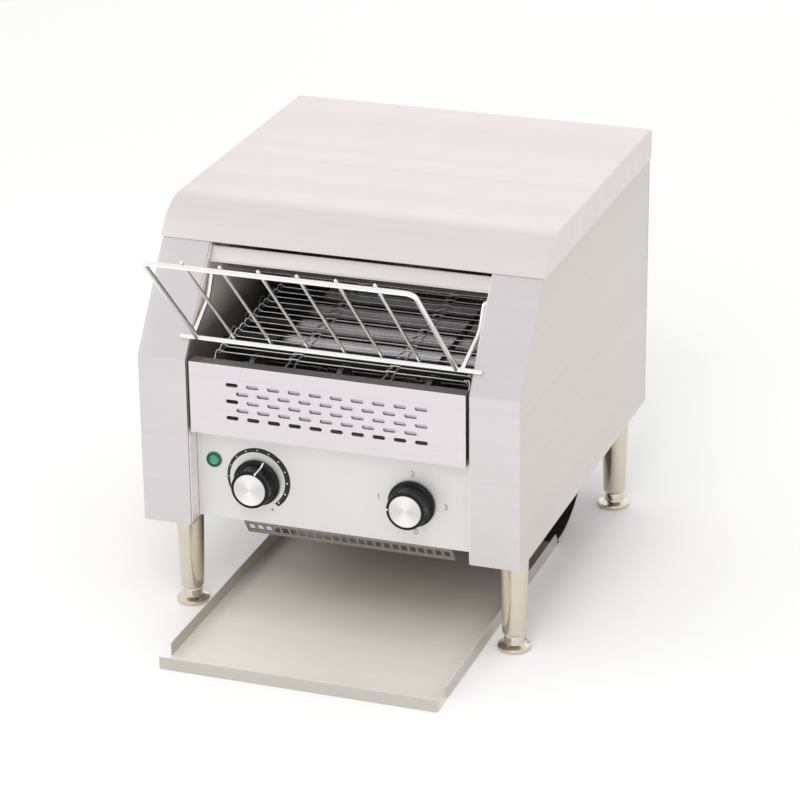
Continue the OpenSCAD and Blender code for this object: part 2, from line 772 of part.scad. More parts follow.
// ---- belt rails ---------------------------------------------------------------
function under_run(y, drop) = [0, y, run_z(y) - drop / cos(belt_a)];
rail_x = (column_x + belt_w / 2) / 2 - 5.5;
rail_ends = [front_axis.y + tooth_tip + 6, rear_axis.y - tooth_tip - 6];
bar_spots = [for (y = rail_ends + [18, -18]) under_run(y, rail_drop + (rail_d + bar_d) / 2 - 0.3)];
// Two round rails under the upper run, welded on two bars that cross between the inner walls.
module belt_rails() {
    color([0.6, 0.6, 0.6]) placed() {
        for (x = [-rail_x, rail_x])
            wire(under_run(rail_ends[0], rail_drop) + [x, 0, 0],
                 under_run(rail_ends[1], rail_drop) + [x, 0, 0], rail_d / 2);
        for (c = bar_spots) pin_x(c, -wall_out - 2, wall_out + 2, bar_d / 2);
    }
}

// ---- heaters --------------------------------------------------------------------
cap_neck_r = tube_d / 2 + 2;
cap_flange_r = tube_d / 2 + 5;
lower_spots = [for (i = [0:lower_tubes_n - 1]) under_run(tube_y + i * lower_pitch, lower_tube_drop)];
upper_spots = [for (i = [0:upper_tubes_n - 1])
    [0, tube_y + 20 + i * upper_pitch, front_axis.z + upper_tube_h]];

// A quartz tube with a hollow bore, ending inside its ceramic caps.
module quartz_tube(c) {
    end = wall_out + 5;
    difference() {
        pin_x(c, -end, end, tube_d / 2);
        pin_x(c, -end - 1, end + 1, tube_d / 2 - 1);
    }
}
module tube_cap(c) {
    difference() {
        union() {
            pin_x(c, wall_x, wall_out + 1, cap_neck_r);
            pin_x(c, wall_out, wall_out + 12, cap_flange_r);
        }
        pin_x(c, wall_x - 1, wall_out + 6, tube_d / 2 + run_fit);
        pin_x(c, wall_out + 5, wall_out + 13, 2);
    }
}
module lower_heater_tubes() {
    color([0.78, 0.76, 0.80]) placed() for (c = lower_spots) quartz_tube(c);
}
module upper_heater_tubes() {
    color([0.78, 0.76, 0.80]) placed() for (c = upper_spots) quartz_tube(c);
}
module heater_caps() {
    color([0.93, 0.91, 0.86]) placed()
        both_sides() for (c = concat(lower_spots, upper_spots)) tube_cap(c);
}

// Glowing wire coils are not drawn: each filament is a straight core inside its tube.
module heater_cores() {
    color([0.35, 0.30, 0.28]) placed()
        for (c = concat(lower_spots, upper_spots)) pin_x(c, -wall_out - 7, wall_out + 7, 1.9);
}

// Trough under the lower tubes, inside the belt.
module lower_reflector() {
    half = inner_w / 2;
    y0 = tube_y - 22;
    y1 = tube_y + (lower_tubes_n - 1) * lower_pitch + 22;
    floor_drop = lower_tube_drop + tube_d / 2 + 3;
    a = under_run(y0, floor_drop);
    b = under_run(y1, floor_drop);
    color([0.55, 0.54, 0.55]) placed()
        side_plate(-half, 2 * half)
            polygon(band([[a.y - 4, a.z + 6], [a.y, a.z], [b.y, b.z], [b.y + 4, b.z + 6]], liner));
}

// Hood over the upper tubes, with leaning ends.
module upper_reflector() {
    half = inner_w / 2;
    top = front_axis.z + upper_tube_h + tube_d / 2 + 6;
    hood_front = tube_y - 13;
    hood_back = inner_back - liner - seat - 1;
    color([0.40, 0.38, 0.37]) placed()
        side_plate(-half, 2 * half)
            polygon(band([[hood_front - 10, top - 12], [hood_front, top], [rear_axis.y, top],
                          [hood_back, top - 22]], liner));
}

// ---- loading rack -----------------------------------------------------------------
// A welded wire basket. Its bottom rod lies across the towers and two stays run up inside the
// mouth to pins in the inner walls, on which the whole rack swings up.
module loading_rack() {
    r = rack_wire / 2;
    out = [0, -cos(rack_lean), sin(rack_lean)];
    inward = [0, sin(rack_lean), cos(rack_lean)];
    rod = [0, rod_y, rod_z];
    left = [rack_side - rack_w / 2, 0, 0];
    right = [rack_side + rack_w / 2, 0, 0];
    corners = [5, 8];                 // bends of the basket's two upper corners
    stay_bends = [30, 3.4];
    beside = rack_wire + 0.2;         // a stay's foot stands beside the side wire
    weld = 0.3;
    top = rod + out * rack_l;
    gap = rack_w / (rack_wires + 1);
    lift = inward * (r + rack_thin / 2 - weld);
    color([0.85, 0.84, 0.82]) placed() {
        wire(rod - [rod_l / 2, 0, 0], rod + [rod_l / 2, 0, 0], rod_r);
        bent_wire([rod + left, top + left, top + right, rod + right], r, corners);
        for (i = [1:rack_wires]) {
            across = left + [i * gap, 0, 0] + lift;
            wire(rod + across - out * 2, top + across + out * 3.5, rack_thin / 2);
        }
        for (s = [-1, 1]) {
            foot = (s < 0 ? left : right) + [s * beside, 0, 0];
            bent_wire([rod + foot, stay_knee + [s * stay_x, 0, 0], stay_pivot + [s * stay_x, 0, 0],
                       stay_pivot + [s * (wall_out + 2), 0, 0]], r, stay_bends);
        }
    }
}

// ---- knobs, switch, regulator and lamp -----------------------------------------------
neck_bush_r = spindle_d / 2 + 1.6;
bush_front = panel_back - 3;
knob_y = panel_back - 1;
spindle_front = panel_back - 14;
// A skirt that sweeps in a hollow curve to a nearly straight barrel with shallow grip flutes.
module knob(x) {
    r0 = knob_d / 2;
    r1 = knob_front_d / 2;
    sweep = r0 - r1 - 2.1;
    flute_r = 2.6;
    flute_deep = 0.4;
    translate([x, knob_y, knob_z])
        rotate([90, 0, 0])
            difference() {
                rotate_extrude($fn = 96)
                    polygon(concat(
                        [[neck_bush_r + 1.4, 0], [r0 - 0.5, 0], [r0, 0.6], [r0, 2.2], [r0 - 0.5, 2.8]],
                        [for (t = [0:0.25:1]) [r1 + 0.9 + sweep * (1 - sin(90 * t)), 3.2 + 6 * pow(t, 1.6)]],
                        [[r1 + 0.5, knob_l - 4], [r1, knob_l - 2], [r1 - 0.8, knob_l - 1.4],
                         [knob_cap_d / 2 + seat, knob_l - 1.4], [knob_cap_d / 2 + seat, knob_l - 2.4],
                         [0, knob_l - 2.4], [0, 6], [neck_bush_r + 1.4, 6]]));
                for (k = [0:knob_flutes - 1]) rotate((k + 0.5) * 360 / knob_flutes)
                    translate([r1 + 0.5 + flute_r - flute_deep, 0, 11]) cylinder(h = knob_l, r = flute_r);
                translate([0, 0, -1]) cylinder(h = 15, r = spindle_d / 2 + run_fit / 2);
            }
}
module knob_cap(x) {
    translate([x, knob_y - knob_l + 2.4, knob_z])
        rotate([90, 0, 0])
            rotate_extrude($fn = 96)
                polygon([[0, 0], [knob_cap_d / 2, 0], [knob_cap_d / 2, 1.1], [knob_cap_d / 2 - 0.8, 1.6],
                         [knob_cap_d / 2 - 3, 1.4], [0, 0.9]]);
}
module spindle(x) {
    pin_y([x, 0, knob_z], spindle_front, panel_back + 12, spindle_d / 2);
}
// Round can behind the panel with its threaded bush in the panel's hole.
module rotary_body(x, r, l) {
    difference() {
        union() {
            pin_y([x, 0, knob_z], bush_front, panel_back + 6, neck_bush_r);
            pin_y([x, 0, knob_z], panel_back + liner + 0.1, panel_back + l, r);
        }
        pin_y([x, 0, knob_z], bush_front - 1, panel_back + 13, spindle_d / 2 + run_fit);
    }
}

module speed_knob() { color([0.06, 0.06, 0.06]) placed() knob(-knob_x); }
module speed_knob_cap() { color([0.85, 0.85, 0.86]) placed() knob_cap(-knob_x); }
module speed_spindle() { color([0.7, 0.7, 0.7]) placed() spindle(-knob_x); }
module selector_knob() { color([0.06, 0.06, 0.06]) placed() knob(knob_x); }
module selector_knob_cap() { color([0.85, 0.85, 0.86]) placed() knob_cap(knob_x); }
module selector_spindle() { color([0.7, 0.7, 0.7]) placed() spindle(knob_x); }
module speed_regulator() { color([0.5, 0.5, 0.48]) placed() rotary_body(-knob_x, 12, 22); }
module selector_switch() {
    color([0.3, 0.3, 0.32]) placed() {
        rotary_body(knob_x, 16, 14);
        difference() {
            block([knob_x - 17, panel_back + 13, knob_z - 17], [knob_x + 17, panel_back + 40, knob_z + 17]);
            pin_y([knob_x, 0, knob_z], panel_back + 12, panel_back + 14, spindle_d / 2 + run_fit);
        }
    }
}

lamp_c = [-lamp_x, 0, under_z + lamp_h];
lamp_body_r = lamp_d / 2 - 2;
module pilot_lamp() {
    color([0.05, 0.25, 0.15]) placed()
        difference() {
            union() {
                pin_y(lamp_c, panel_back - 2, panel_back - 0.02, lamp_d / 2);
                pin_y(lamp_c, panel_back - 1, panel_back + 26, lamp_body_r);
            }
            pin_y(lamp_c, panel_back - 3, panel_back + 6, lamp_d / 2 - 3);
        }
}
module pilot_lens() {
    color([0.10, 0.55, 0.35]) placed() {
        translate([lamp_c.x, panel_back - 2, lamp_c.z]) rotate([90, 0, 0])
            cylinder(h = 1.2, r1 = lamp_d / 2 - 3.1, r2 = lamp_d / 2 - 4.6);
        pin_y(lamp_c, panel_back - 2 - eps, panel_back + 5, lamp_d / 2 - 3.1);
    }
}

// ---- motor and chain ------------------------------------------------------------------
motor_boss_r = motor_shaft_d / 2 + 4;
motor_back_x = wall_x - 92;
roller_r = 1.65;
drive_pr = chain_pitch / (2 * sin(180 / drive_teeth));
motor_pr = chain_pitch / (2 * sin(180 / motor_teeth));
// Angle between the chain's two straights and the line of the axes, when these are c apart
function chain_spread(c) = asin((drive_pr - motor_pr) / c);
// Lengths of chain in whole and part pitches on the two wheels
function drive_wrap(c) = drive_teeth * (180 + 2 * chain_spread(c)) / 360 * chain_pitch;
function motor_wrap(c) = motor_teeth * (180 - 2 * chain_spread(c)) / 360 * chain_pitch;
// The distance between the axes that just takes the chain, found in a few steps
function chain_fit(c, steps) =
    let (straight = (chain_links * chain_pitch - drive_wrap(c) - motor_wrap(c)) / 2)
    steps == 0 ? c : chain_fit(straight / cos(chain_spread(c)), steps - 1);
chain_c = chain_fit(chain_links * chain_pitch / 2, 8);
motor_axis = rear_axis - chain_c * [0, cos(chain_slope), sin(chain_slope)];
module gear_motor() {
    box = 30;
    color([0.35, 0.36, 0.38]) placed()
        difference() {
            union() {
                block([wall_x - seat - 34, motor_axis.y - box, motor_axis.z - box],
                      [wall_x - seat, motor_axis.y + box, motor_axis.z + box]);
                pin_x(motor_axis, wall_x - 1, wall_out + 3, motor_boss_r);
                pin_x(motor_axis, motor_back_x, wall_x - 34, 25);
                pin_x(motor_axis, motor_back_x - 3, motor_back_x + 1, 9);
            }
            pin_x(motor_axis, wall_x - 20, wall_out + 4, motor_shaft_d / 2 + run_fit);
        }
}
module motor_shaft() {
    color([0.7, 0.7, 0.7]) placed()
        pin_x(motor_axis, wall_x - 18, chain_x + 6, motor_shaft_d / 2);
}

chain_lean = chain_spread(chain_c);
chain_flat = chain_c * cos(chain_lean);
drive_arc = drive_wrap(chain_c);
chain_total = chain_links * chain_pitch;
// Point on the chain's pitch line at distance s, in the frame of the two axes: motor at the
// origin and the belt shaft on +x. It starts on the upper straight and runs to the belt shaft.
// On a wheel each pitch of chain takes one tooth.
function chain_point(s) =
    let (up = 90 + chain_lean,
         a = motor_pr * [cos(up), sin(up)],
         b = [chain_c, 0] + drive_pr * [cos(up), sin(up)],
         c = [chain_c, 0] + drive_pr * [cos(up), -sin(up)],
         d = motor_pr * [cos(up), -sin(up)])
    s < chain_flat ? a + (b - a) * s / chain_flat
    : s < chain_flat + drive_arc
        ? let (t = up - (s - chain_flat) / chain_pitch * 360 / drive_teeth)
          [chain_c, 0] + drive_pr * [cos(t), sin(t)]
    : s < 2 * chain_flat + drive_arc ? c + (d - c) * (s - chain_flat - drive_arc) / chain_flat
    : let (t = -up - (s - 2 * chain_flat - drive_arc) / chain_pitch * 360 / motor_teeth)
      motor_pr * [cos(t), sin(t)];
// A roller sits at the far end of the upper straight, so each wheel's teeth are set from it.
drive_phase = 90 + chain_lean;
motor_phase = 90 + chain_lean
    + (floor(chain_flat / chain_pitch) + 1 - chain_flat / chain_pitch) * 360 / motor_teeth;

module chain_frame() {
    translate([chain_x, motor_axis.y, motor_axis.z])
        rotate([chain_slope, 0, 0])
            rotate([90, 0, 90])
                children();
}
// A wheel whose gaps take the rollers and widen outwards, so that its teeth narrow to their tips.
module toothed_wheel(pr, teeth, phase, hole_r) {
    gap = roller_r + 0.3;
    difference() {
        circle(r = pr + 1.2, $fn = 64);
        circle(r = hole_r);
        for (k = [0:teeth - 1]) rotate(phase + k * 360 / teeth) {
            translate([pr, 0]) circle(r = gap, $fn = 20);
            polygon([[pr, -gap], [pr + 3, -gap - 1], [pr + 3, gap + 1], [pr, gap]]);
        }
    }
}
module drive_chain_wheel() {
    color([0.45, 0.45, 0.45]) placed()
        chain_frame() translate([chain_c, 0, -1.2])
            linear_extrude(2.4) toothed_wheel(drive_pr, drive_teeth, drive_phase, shaft_d / 2 + run_fit / 2);
}
module motor_chain_wheel() {
    color([0.45, 0.45, 0.45]) placed()
        chain_frame() translate([0, 0, -1.2])
            linear_extrude(2.4)
                toothed_wheel(motor_pr, motor_teeth, motor_phase, motor_shaft_d / 2 + run_fit / 2);
}
// Roller chain: pins with pairs of plates, each pair joining two neighbours.
module drive_chain() {
    color([0.4, 0.4, 0.4]) placed()
        chain_frame()
            for (k = [0:chain_links - 1]) {
                s = (chain_flat + k * chain_pitch) % chain_total;
                a = chain_point(s);
                b = chain_point((s + chain_pitch) % chain_total);
                translate([a.x, a.y, -3.2]) cylinder(h = 6.4, r = roller_r, $fn = 16);
                level = k % 2 == 0 ? 1.7 : 2.45;
                for (side = [-1, 1])
                    translate([0, 0, side * level - 0.3])
                        linear_extrude(0.6)
                            polygon(band([a - unit(b - a) * 1.9, b + unit(b - a) * 1.9], 4.6));
            }
}

// ---- fan ---------------------------------------------------------------------------------
fan_z = floor_z + liner;
fan_h = 25;
fan_r = fan_w / 2 - 2.5;
module fan_frame() {
    color([0.12, 0.12, 0.12]) placed()
        translate([fan_c.x, fan_c.y, fan_z])
            difference() {
                union() {
                    difference() {
                        translate([-fan_w / 2, -fan_w / 2, 0]) cube([fan_w, fan_w, fan_h]);
                        translate([0, 0, -1]) cylinder(h = fan_h + 2, r = fan_r);
                    }
                    translate([0, 0, fan_h - 3]) cylinder(h = 3, r = 14);
                    for (a = [45, 135, 225, 315]) rotate(a)
                        translate([12, -2, fan_h - 3]) cube([fan_r - 10, 4, 3]);
                }
                translate([0, 0, fan_h - 4]) cylinder(h = 5, r = 2 + run_fit);
                for (x = [-1, 1], y = [-1, 1])
                    translate([x * (fan_w / 2 - 4.2), y * (fan_w / 2 - 4.2), -1])
                        cylinder(h = fan_h + 2, r = 2.1);
            }
}
module fan_rotor() {
    color([0.16, 0.16, 0.16]) placed()
        translate([fan_c.x, fan_c.y, fan_z + 3]) {
            cylinder(h = fan_h - 7, r = 14);
            cylinder(h = fan_h - 4, r = 2);
            for (k = [0:fan_blades - 1]) rotate(k * 360 / fan_blades)
                translate([12.5, 0, (fan_h - 7) / 2])
                    rotate([38, 0, 0])
                        translate([0, -0.8, -11.2]) cube([fan_r - 15, 1.6, 21]);
        }
}

// ---- wiring hardware --------------------------------------------------------------------
module terminal_block() {
    color([0.92, 0.91, 0.87]) placed()
        difference() {
            block([-30, deck_back - 34, fan_z], [30, deck_back - 14, fan_z + 18]);
            for (i = [0:5], y = [29, 19])
                translate([-25 + i * 10, deck_back - y, fan_z + 8]) cylinder(h = 12, r = 2.6);
        }
}
board_l = 60;
board_in = 25;                        // set-in of the board from the inner wall
board_back = 11;                      // and from the compartment's rear
module speed_board() {
    color([0.10, 0.35, 0.20]) placed()
        translate([board_in - wall_x, deck_back - board_back - board_l, fan_z]) {
            block([0, 0, 6], [board_l, board_l, 7.6]);
            for (x = [5, 55], y = [5, 55]) translate([x, y, 0])
                cylinder(h = 6 + eps, r = 2.5);
            block([6, 13, 7.5], [18, 47, 26]);
            for (y = [17, 31]) translate([30, y, 7.5]) cylinder(h = 16, r = 5.5);
            block([40, 11, 7.5], [52, 47, 14]);
        }
}

gland_r = 8;
gland_nut_r = gland_r + 2.5;
gland_x = panel_flange + gland_nut_r + 1.5 - half_w;
gland_z = under_z + 34;
cord_r = 4.5;
module cable_gland() {
    color([0.10, 0.10, 0.10]) placed()
        difference() {
            union() {
                pin_y([gland_x, 0, gland_z], body_d - sheet - 9, body_d + 1, gland_r);
                pin_y([gland_x, 0, gland_z], body_d, body_d + 3, gland_r + 3);
                translate([gland_x, body_d + 3 - eps, gland_z]) rotate([-90, 0, 0])
                    cylinder(h = cover_back + gland_out - body_d - 3, r1 = gland_r, r2 = gland_r - 1.4);
                pin_y([gland_x, 0, gland_z], body_d - sheet - 8, body_d - sheet - 0.1, gland_nut_r);
            }
            pin_y([gland_x, 0, gland_z], body_d - 20, body_d + 20, cord_r);
        }
}

side_panel_left();
side_panel_right();
inner_wall_left();
inner_wall_right();
tower_base_left();
tower_base_right();
top_cover();
rear_panel();
fasteners();
front_vent_panel();
vent_baffle();
control_panel();
air_strip();
upper_front_strip();
compartment_shell();
compartment_floor();
return_chute();
tray();
leg_front_left();
leg_front_right();
leg_rear_left();
leg_rear_right();
foot_front_left();
foot_front_right();
foot_rear_left();
foot_rear_right();
conveyor_belt();
drive_shaft();
idler_shaft();
drive_sprockets();
idler_sprockets();
shaft_bushes();
belt_rails();
lower_heater_tubes();
upper_heater_tubes();
heater_caps();
heater_cores();
lower_reflector();
upper_reflector();
loading_rack();
speed_knob();
speed_knob_cap();
speed_spindle();
speed_regulator();
selector_knob();
selector_knob_cap();
selector_spindle();
selector_switch();
pilot_lamp();
pilot_lens();
gear_motor();
motor_shaft();
drive_chain_wheel();
motor_chain_wheel();
drive_chain();
fan_frame();
fan_rotor();
terminal_block();
speed_board();
cable_gland();
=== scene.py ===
"""Looks of a countertop conveyor toaster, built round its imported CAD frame.

Lengths in the classes are millimetres in the maker's frame: x to the right, y back from the
towers' front face, z up from the counter. Place turns them into metres in the model's own frame.
"""

from __future__ import annotations

import logging
import math
from dataclasses import dataclass, field
from enum import Enum
from typing import Callable, Sequence

import bmesh
import bpy
import numpy as np
from mathutils import Matrix, Vector

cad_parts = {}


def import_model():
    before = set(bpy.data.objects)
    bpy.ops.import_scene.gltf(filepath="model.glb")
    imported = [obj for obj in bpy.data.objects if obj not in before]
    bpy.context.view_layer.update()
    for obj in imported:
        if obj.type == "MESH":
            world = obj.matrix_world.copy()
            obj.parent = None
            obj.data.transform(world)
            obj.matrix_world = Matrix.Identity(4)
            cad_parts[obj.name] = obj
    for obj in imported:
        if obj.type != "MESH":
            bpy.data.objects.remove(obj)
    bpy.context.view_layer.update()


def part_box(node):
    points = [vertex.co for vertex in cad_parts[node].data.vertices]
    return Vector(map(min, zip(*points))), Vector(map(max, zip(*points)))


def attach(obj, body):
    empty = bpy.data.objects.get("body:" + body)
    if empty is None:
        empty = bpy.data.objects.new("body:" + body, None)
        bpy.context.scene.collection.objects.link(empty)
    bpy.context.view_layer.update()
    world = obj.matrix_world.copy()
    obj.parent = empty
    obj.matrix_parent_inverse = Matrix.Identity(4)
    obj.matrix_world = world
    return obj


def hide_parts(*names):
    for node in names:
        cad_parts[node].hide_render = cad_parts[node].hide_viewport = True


LOG = logging.getLogger("conveyor_toaster")
MM = 0.001
SHARP_DEG = 40.0
BEVEL_STEPS = 2
BODY_DEPTH = 420.0
Array = np.ndarray


class Side(Enum):
    """The machine's two sides, as the sign of x."""

    LEFT = -1
    RIGHT = 1


class Ends(Enum):
    """How a wire ends."""

    ROUND = "round"
    FLAT = "flat"


# ---- geometry -------------------------------------------------------------------------------


def unit(vectors: Array) -> Array:
    """Vectors of length one. Args: vectors, one or rows of them. Returns: the same directions."""
    return vectors / np.linalg.norm(vectors, axis=-1, keepdims=True)


@dataclass
class Shape:
    """A surface: points, and faces of four or three corners."""

    points: Array
    quads: Array = field(default_factory=lambda: np.zeros((0, 4), int))
    tris: Array = field(default_factory=lambda: np.zeros((0, 3), int))

    def moved(self, shift: Sequence[float]) -> "Shape":
        """The shape moved. Args: shift, x, y and z. Returns: a new shape."""
        return Shape(self.points + np.asarray(shift, float), self.quads, self.tris)

    def mirrored(self) -> "Shape":
        """The mirror image across x = 0. Returns: a new shape with its faces turned to match."""
        return Shape(self.points * (-1, 1, 1), self.quads[:, ::-1], self.tris[:, ::-1])

    def volume(self) -> float:
        """Signed volume inside the faces. Returns: a sixth of the sum of corner products."""
        tris = np.concatenate([self.tris, self.quads[:, [0, 1, 2]], self.quads[:, [0, 2, 3]]])
        a, b, c = (self.points[tris[:, k]] for k in range(3))
        return float(np.einsum("ij,ij->i", a, np.cross(b, c)).sum() / 6)

    def outward(self) -> "Shape":
        """A closed shape with its faces pointing out. Returns: the shape, turned if needed."""
        if self.volume() >= 0:
            return self
        return Shape(self.points, self.quads[:, ::-1], self.tris[:, ::-1])

    def facing(self, centre: Sequence[float]) -> "Shape":
        """An open sheet with its faces pointing away from a point inside it.

        Args:
            centre: the point that the faces look away from.
        Returns:
            The shape, turned where the faces on the whole look towards the centre.
        """
        a, b, c, d = (self.points[self.quads[:, k]] for k in range(4))
        normals = np.cross(c - a, d - b)
        away = np.einsum("ij,ij->i", normals, (a + b + c + d) / 4 - np.asarray(centre, float))
        if away.sum() >= 0:
            return self
        return Shape(self.points, self.quads[:, ::-1], self.tris[:, ::-1])


def joined(shapes: Sequence[Shape]) -> Shape:
    """Several shapes as one. Args: shapes. Returns: one shape with all their points and faces."""
    starts = np.cumsum([0] + [len(s.points) for s in shapes[:-1]])
    return Shape(
        np.concatenate([s.points for s in shapes]),
        np.concatenate([s.quads + k for s, k in zip(shapes, starts)]),
        np.concatenate([s.tris + k for s, k in zip(shapes, starts)]),
    )


def surface(grid: Array, wrap: bool = False) -> Shape:
    """A surface on a grid of points.

    Each quad joins a point to the next one along its row and the next one down its column.

    Args:
        grid: rows by columns by three.
        wrap: True where the last column joins the first.
    Returns:
        The shape, with each row's points in turn.
    """
    rows, cols = grid.shape[:2]
    index = np.arange(rows * cols).reshape(rows, cols)
    right = np.roll(index, -1, axis=1)
    span = cols if wrap else cols - 1
    quads = np.stack([index[:-1], right[:-1], right[1:], index[1:]], axis=-1)[:, :span]
    return Shape(grid.reshape(-1, 3).astype(float), quads.reshape(-1, 4))


def closed_rings(grid: Array) -> Shape:
    """A solid from rings of points, with a fan over the first and the last ring.

    Args:
        grid: rings by points by three.
    Returns:
        The closed shape, facing out.
    """
    rings, sides = grid.shape[:2]
    body = surface(grid, wrap=True)
    poles = np.stack([grid[0].mean(0), grid[-1].mean(0)])
    first = np.arange(sides)
    last = first + (rings - 1) * sides
    tip = rings * sides
    fan_a = np.stack([np.full(sides, tip), np.roll(first, -1), first], axis=-1)
    fan_b = np.stack([np.full(sides, tip + 1), last, np.roll(last, -1)], axis=-1)
    points = np.concatenate([body.points, poles])
    return Shape(points, body.quads, np.concatenate([fan_a, fan_b])).outward()


def rounded_path(
    points: Sequence[Sequence[float]], radii: Sequence[float], steps: int = 6
) -> Array:
    """A path whose inner corners are round.

    Each corner becomes an arc that starts and ends one tangent length away from it.

    Args:
        points: the corners in turn.
        radii: the bend of each inner corner.
        steps: chords in each arc.
    Returns:
        The points along the path, ends included.
    """
    corners = np.asarray(points, float)
    pieces = [corners[:1]]
    for corner, radius in zip(range(1, len(corners) - 1), radii):
        before, here, after = corners[corner - 1 : corner + 2]
        u, v = unit(here - before), unit(after - here)
        turn = math.acos(float(np.clip(u @ v, -1, 1)))
        if radius <= 0 or turn < 1e-4:
            pieces.append(here[None])
            continue
        inward = unit(v - u * (u @ v))
        centre = here - u * radius * math.tan(turn / 2) + inward * radius
        angle = np.linspace(0, turn, steps + 1)[:, None]
        pieces.append(centre + radius * (u * np.sin(angle) - inward * np.cos(angle)))
    pieces.append(corners[-1:])
    return np.concatenate(pieces)


def wire(
    path: Array,
    radius: float,
    across: Sequence[float] | Array,
    sides: int = 12,
    ends: Ends = Ends.ROUND,
    closed: bool = False,
) -> Shape:
    """A round wire: a circle carried along a path.

    The circle lies square to the path's direction, in a frame made from that direction and one
    fixed vector. Round ends shrink the circle as a quarter of a sine while it moves on.

    Args:
        path: points along the wire's axis.
        radius: of the wire.
        across: a vector, or one for each point, that is never along the path.
        sides: of the circle.
        ends: round or flat.
        closed: True where the path's end meets its start.
    Returns:
        The closed shape.
    """
    if closed:
        along = unit(np.roll(path, -1, axis=0) - np.roll(path, 1, axis=0))
    else:
        along = unit(np.gradient(path, axis=0))
    size = np.full(len(path), float(radius))
    if ends is Ends.ROUND and not closed:
        dome = np.radians([78, 52, 26])
        head = path[:1] - along[:1] * radius * np.sin(dome)[:, None]
        tail = path[-1:] + along[-1:] * radius * np.sin(dome[::-1])[:, None]
        shrunk = radius * np.cos(dome)
        path = np.concatenate([head, path, tail])
        size = np.concatenate([shrunk, size, shrunk[::-1]])
        along = np.concatenate([np.repeat(along[:1], 3, 0), along, np.repeat(along[-1:], 3, 0)])
    u = unit(np.cross(along, np.broadcast_to(np.asarray(across, float), along.shape)))
    v = np.cross(along, u)
    angle = np.arange(sides) * 2 * np.pi / sides
    spoke = u[:, None] * np.cos(angle)[:, None] + v[:, None] * np.sin(angle)[:, None]
    grid = path[:, None] + spoke * size[:, None, None]
    if closed:
        return surface(np.concatenate([grid, grid[:1]]), wrap=True).outward()
    return closed_rings(grid)


def turned(
    profile: Sequence[Sequence[float]],
    centre: Sequence[float],
    axis: Sequence[float],
    steps: int = 64,
    ripple: Callable[[Array, Array], Array] | None = None,
) -> Shape:
    """A turned piece: a profile of radius and height carried round an axis.

    Args:
        profile: radius and height in turn, from one end of the piece to the other.
        centre: the point of height nought.
        axis: direction of growing height.
        steps: round the axis.
        ripple: gives what is added to the radius from the angle and the height.
    Returns:
        The closed shape.
    """
    line = np.asarray(profile, float)
    w = unit(np.asarray(axis, float))
    u = unit(np.cross(w, [0.3, 0.5, 0.81]))
    v = np.cross(w, u)
    angle = np.arange(steps) * 2 * np.pi / steps
    radius = np.broadcast_to(line[:, :1], (len(line), steps)).copy()
    if ripple is not None:
        radius += ripple(angle[None], line[:, 1:]) * (line[:, :1] > 0.5)
    spoke = u * np.cos(angle)[:, None] + v * np.sin(angle)[:, None]
    height = w * line[:, 1][:, None, None]
    grid = np.asarray(centre, float) + spoke[None] * radius[..., None] + height
    return closed_rings(grid)


def soft_profile(corners: Sequence[Sequence[float]], radius: float, steps: int = 4) -> Array:
    """A turned profile with its inner corners rounded.

    Args:
        corners: radius and height in turn.
        radius: wanted bend, kept under a third of the shorter side at each corner.
        steps: chords in each bend.
    Returns:
        Radius and height in turn.
    """
    flat = np.asarray(corners, float)
    runs = np.linalg.norm(np.diff(flat, axis=0), axis=1)
    room = np.minimum(runs[:-1], runs[1:]) / 3
    spatial = np.column_stack([flat, np.zeros(len(flat))])
    return rounded_path(spatial, np.minimum(radius, room), steps)[:, :2]


def broken_edges(piece: bpy.types.Object, width: float, sharper: float) -> None:
    """Bevels a piece's sharp edges. Args: piece, width in millimetres, least angle in degrees."""
    rounding = piece.modifiers.new("edges", "BEVEL")
    rounding.width = width * MM
    rounding.segments = BEVEL_STEPS
    rounding.limit_method = "ANGLE"
    rounding.angle_limit = math.radians(sharper)
    rounding.harden_normals = True


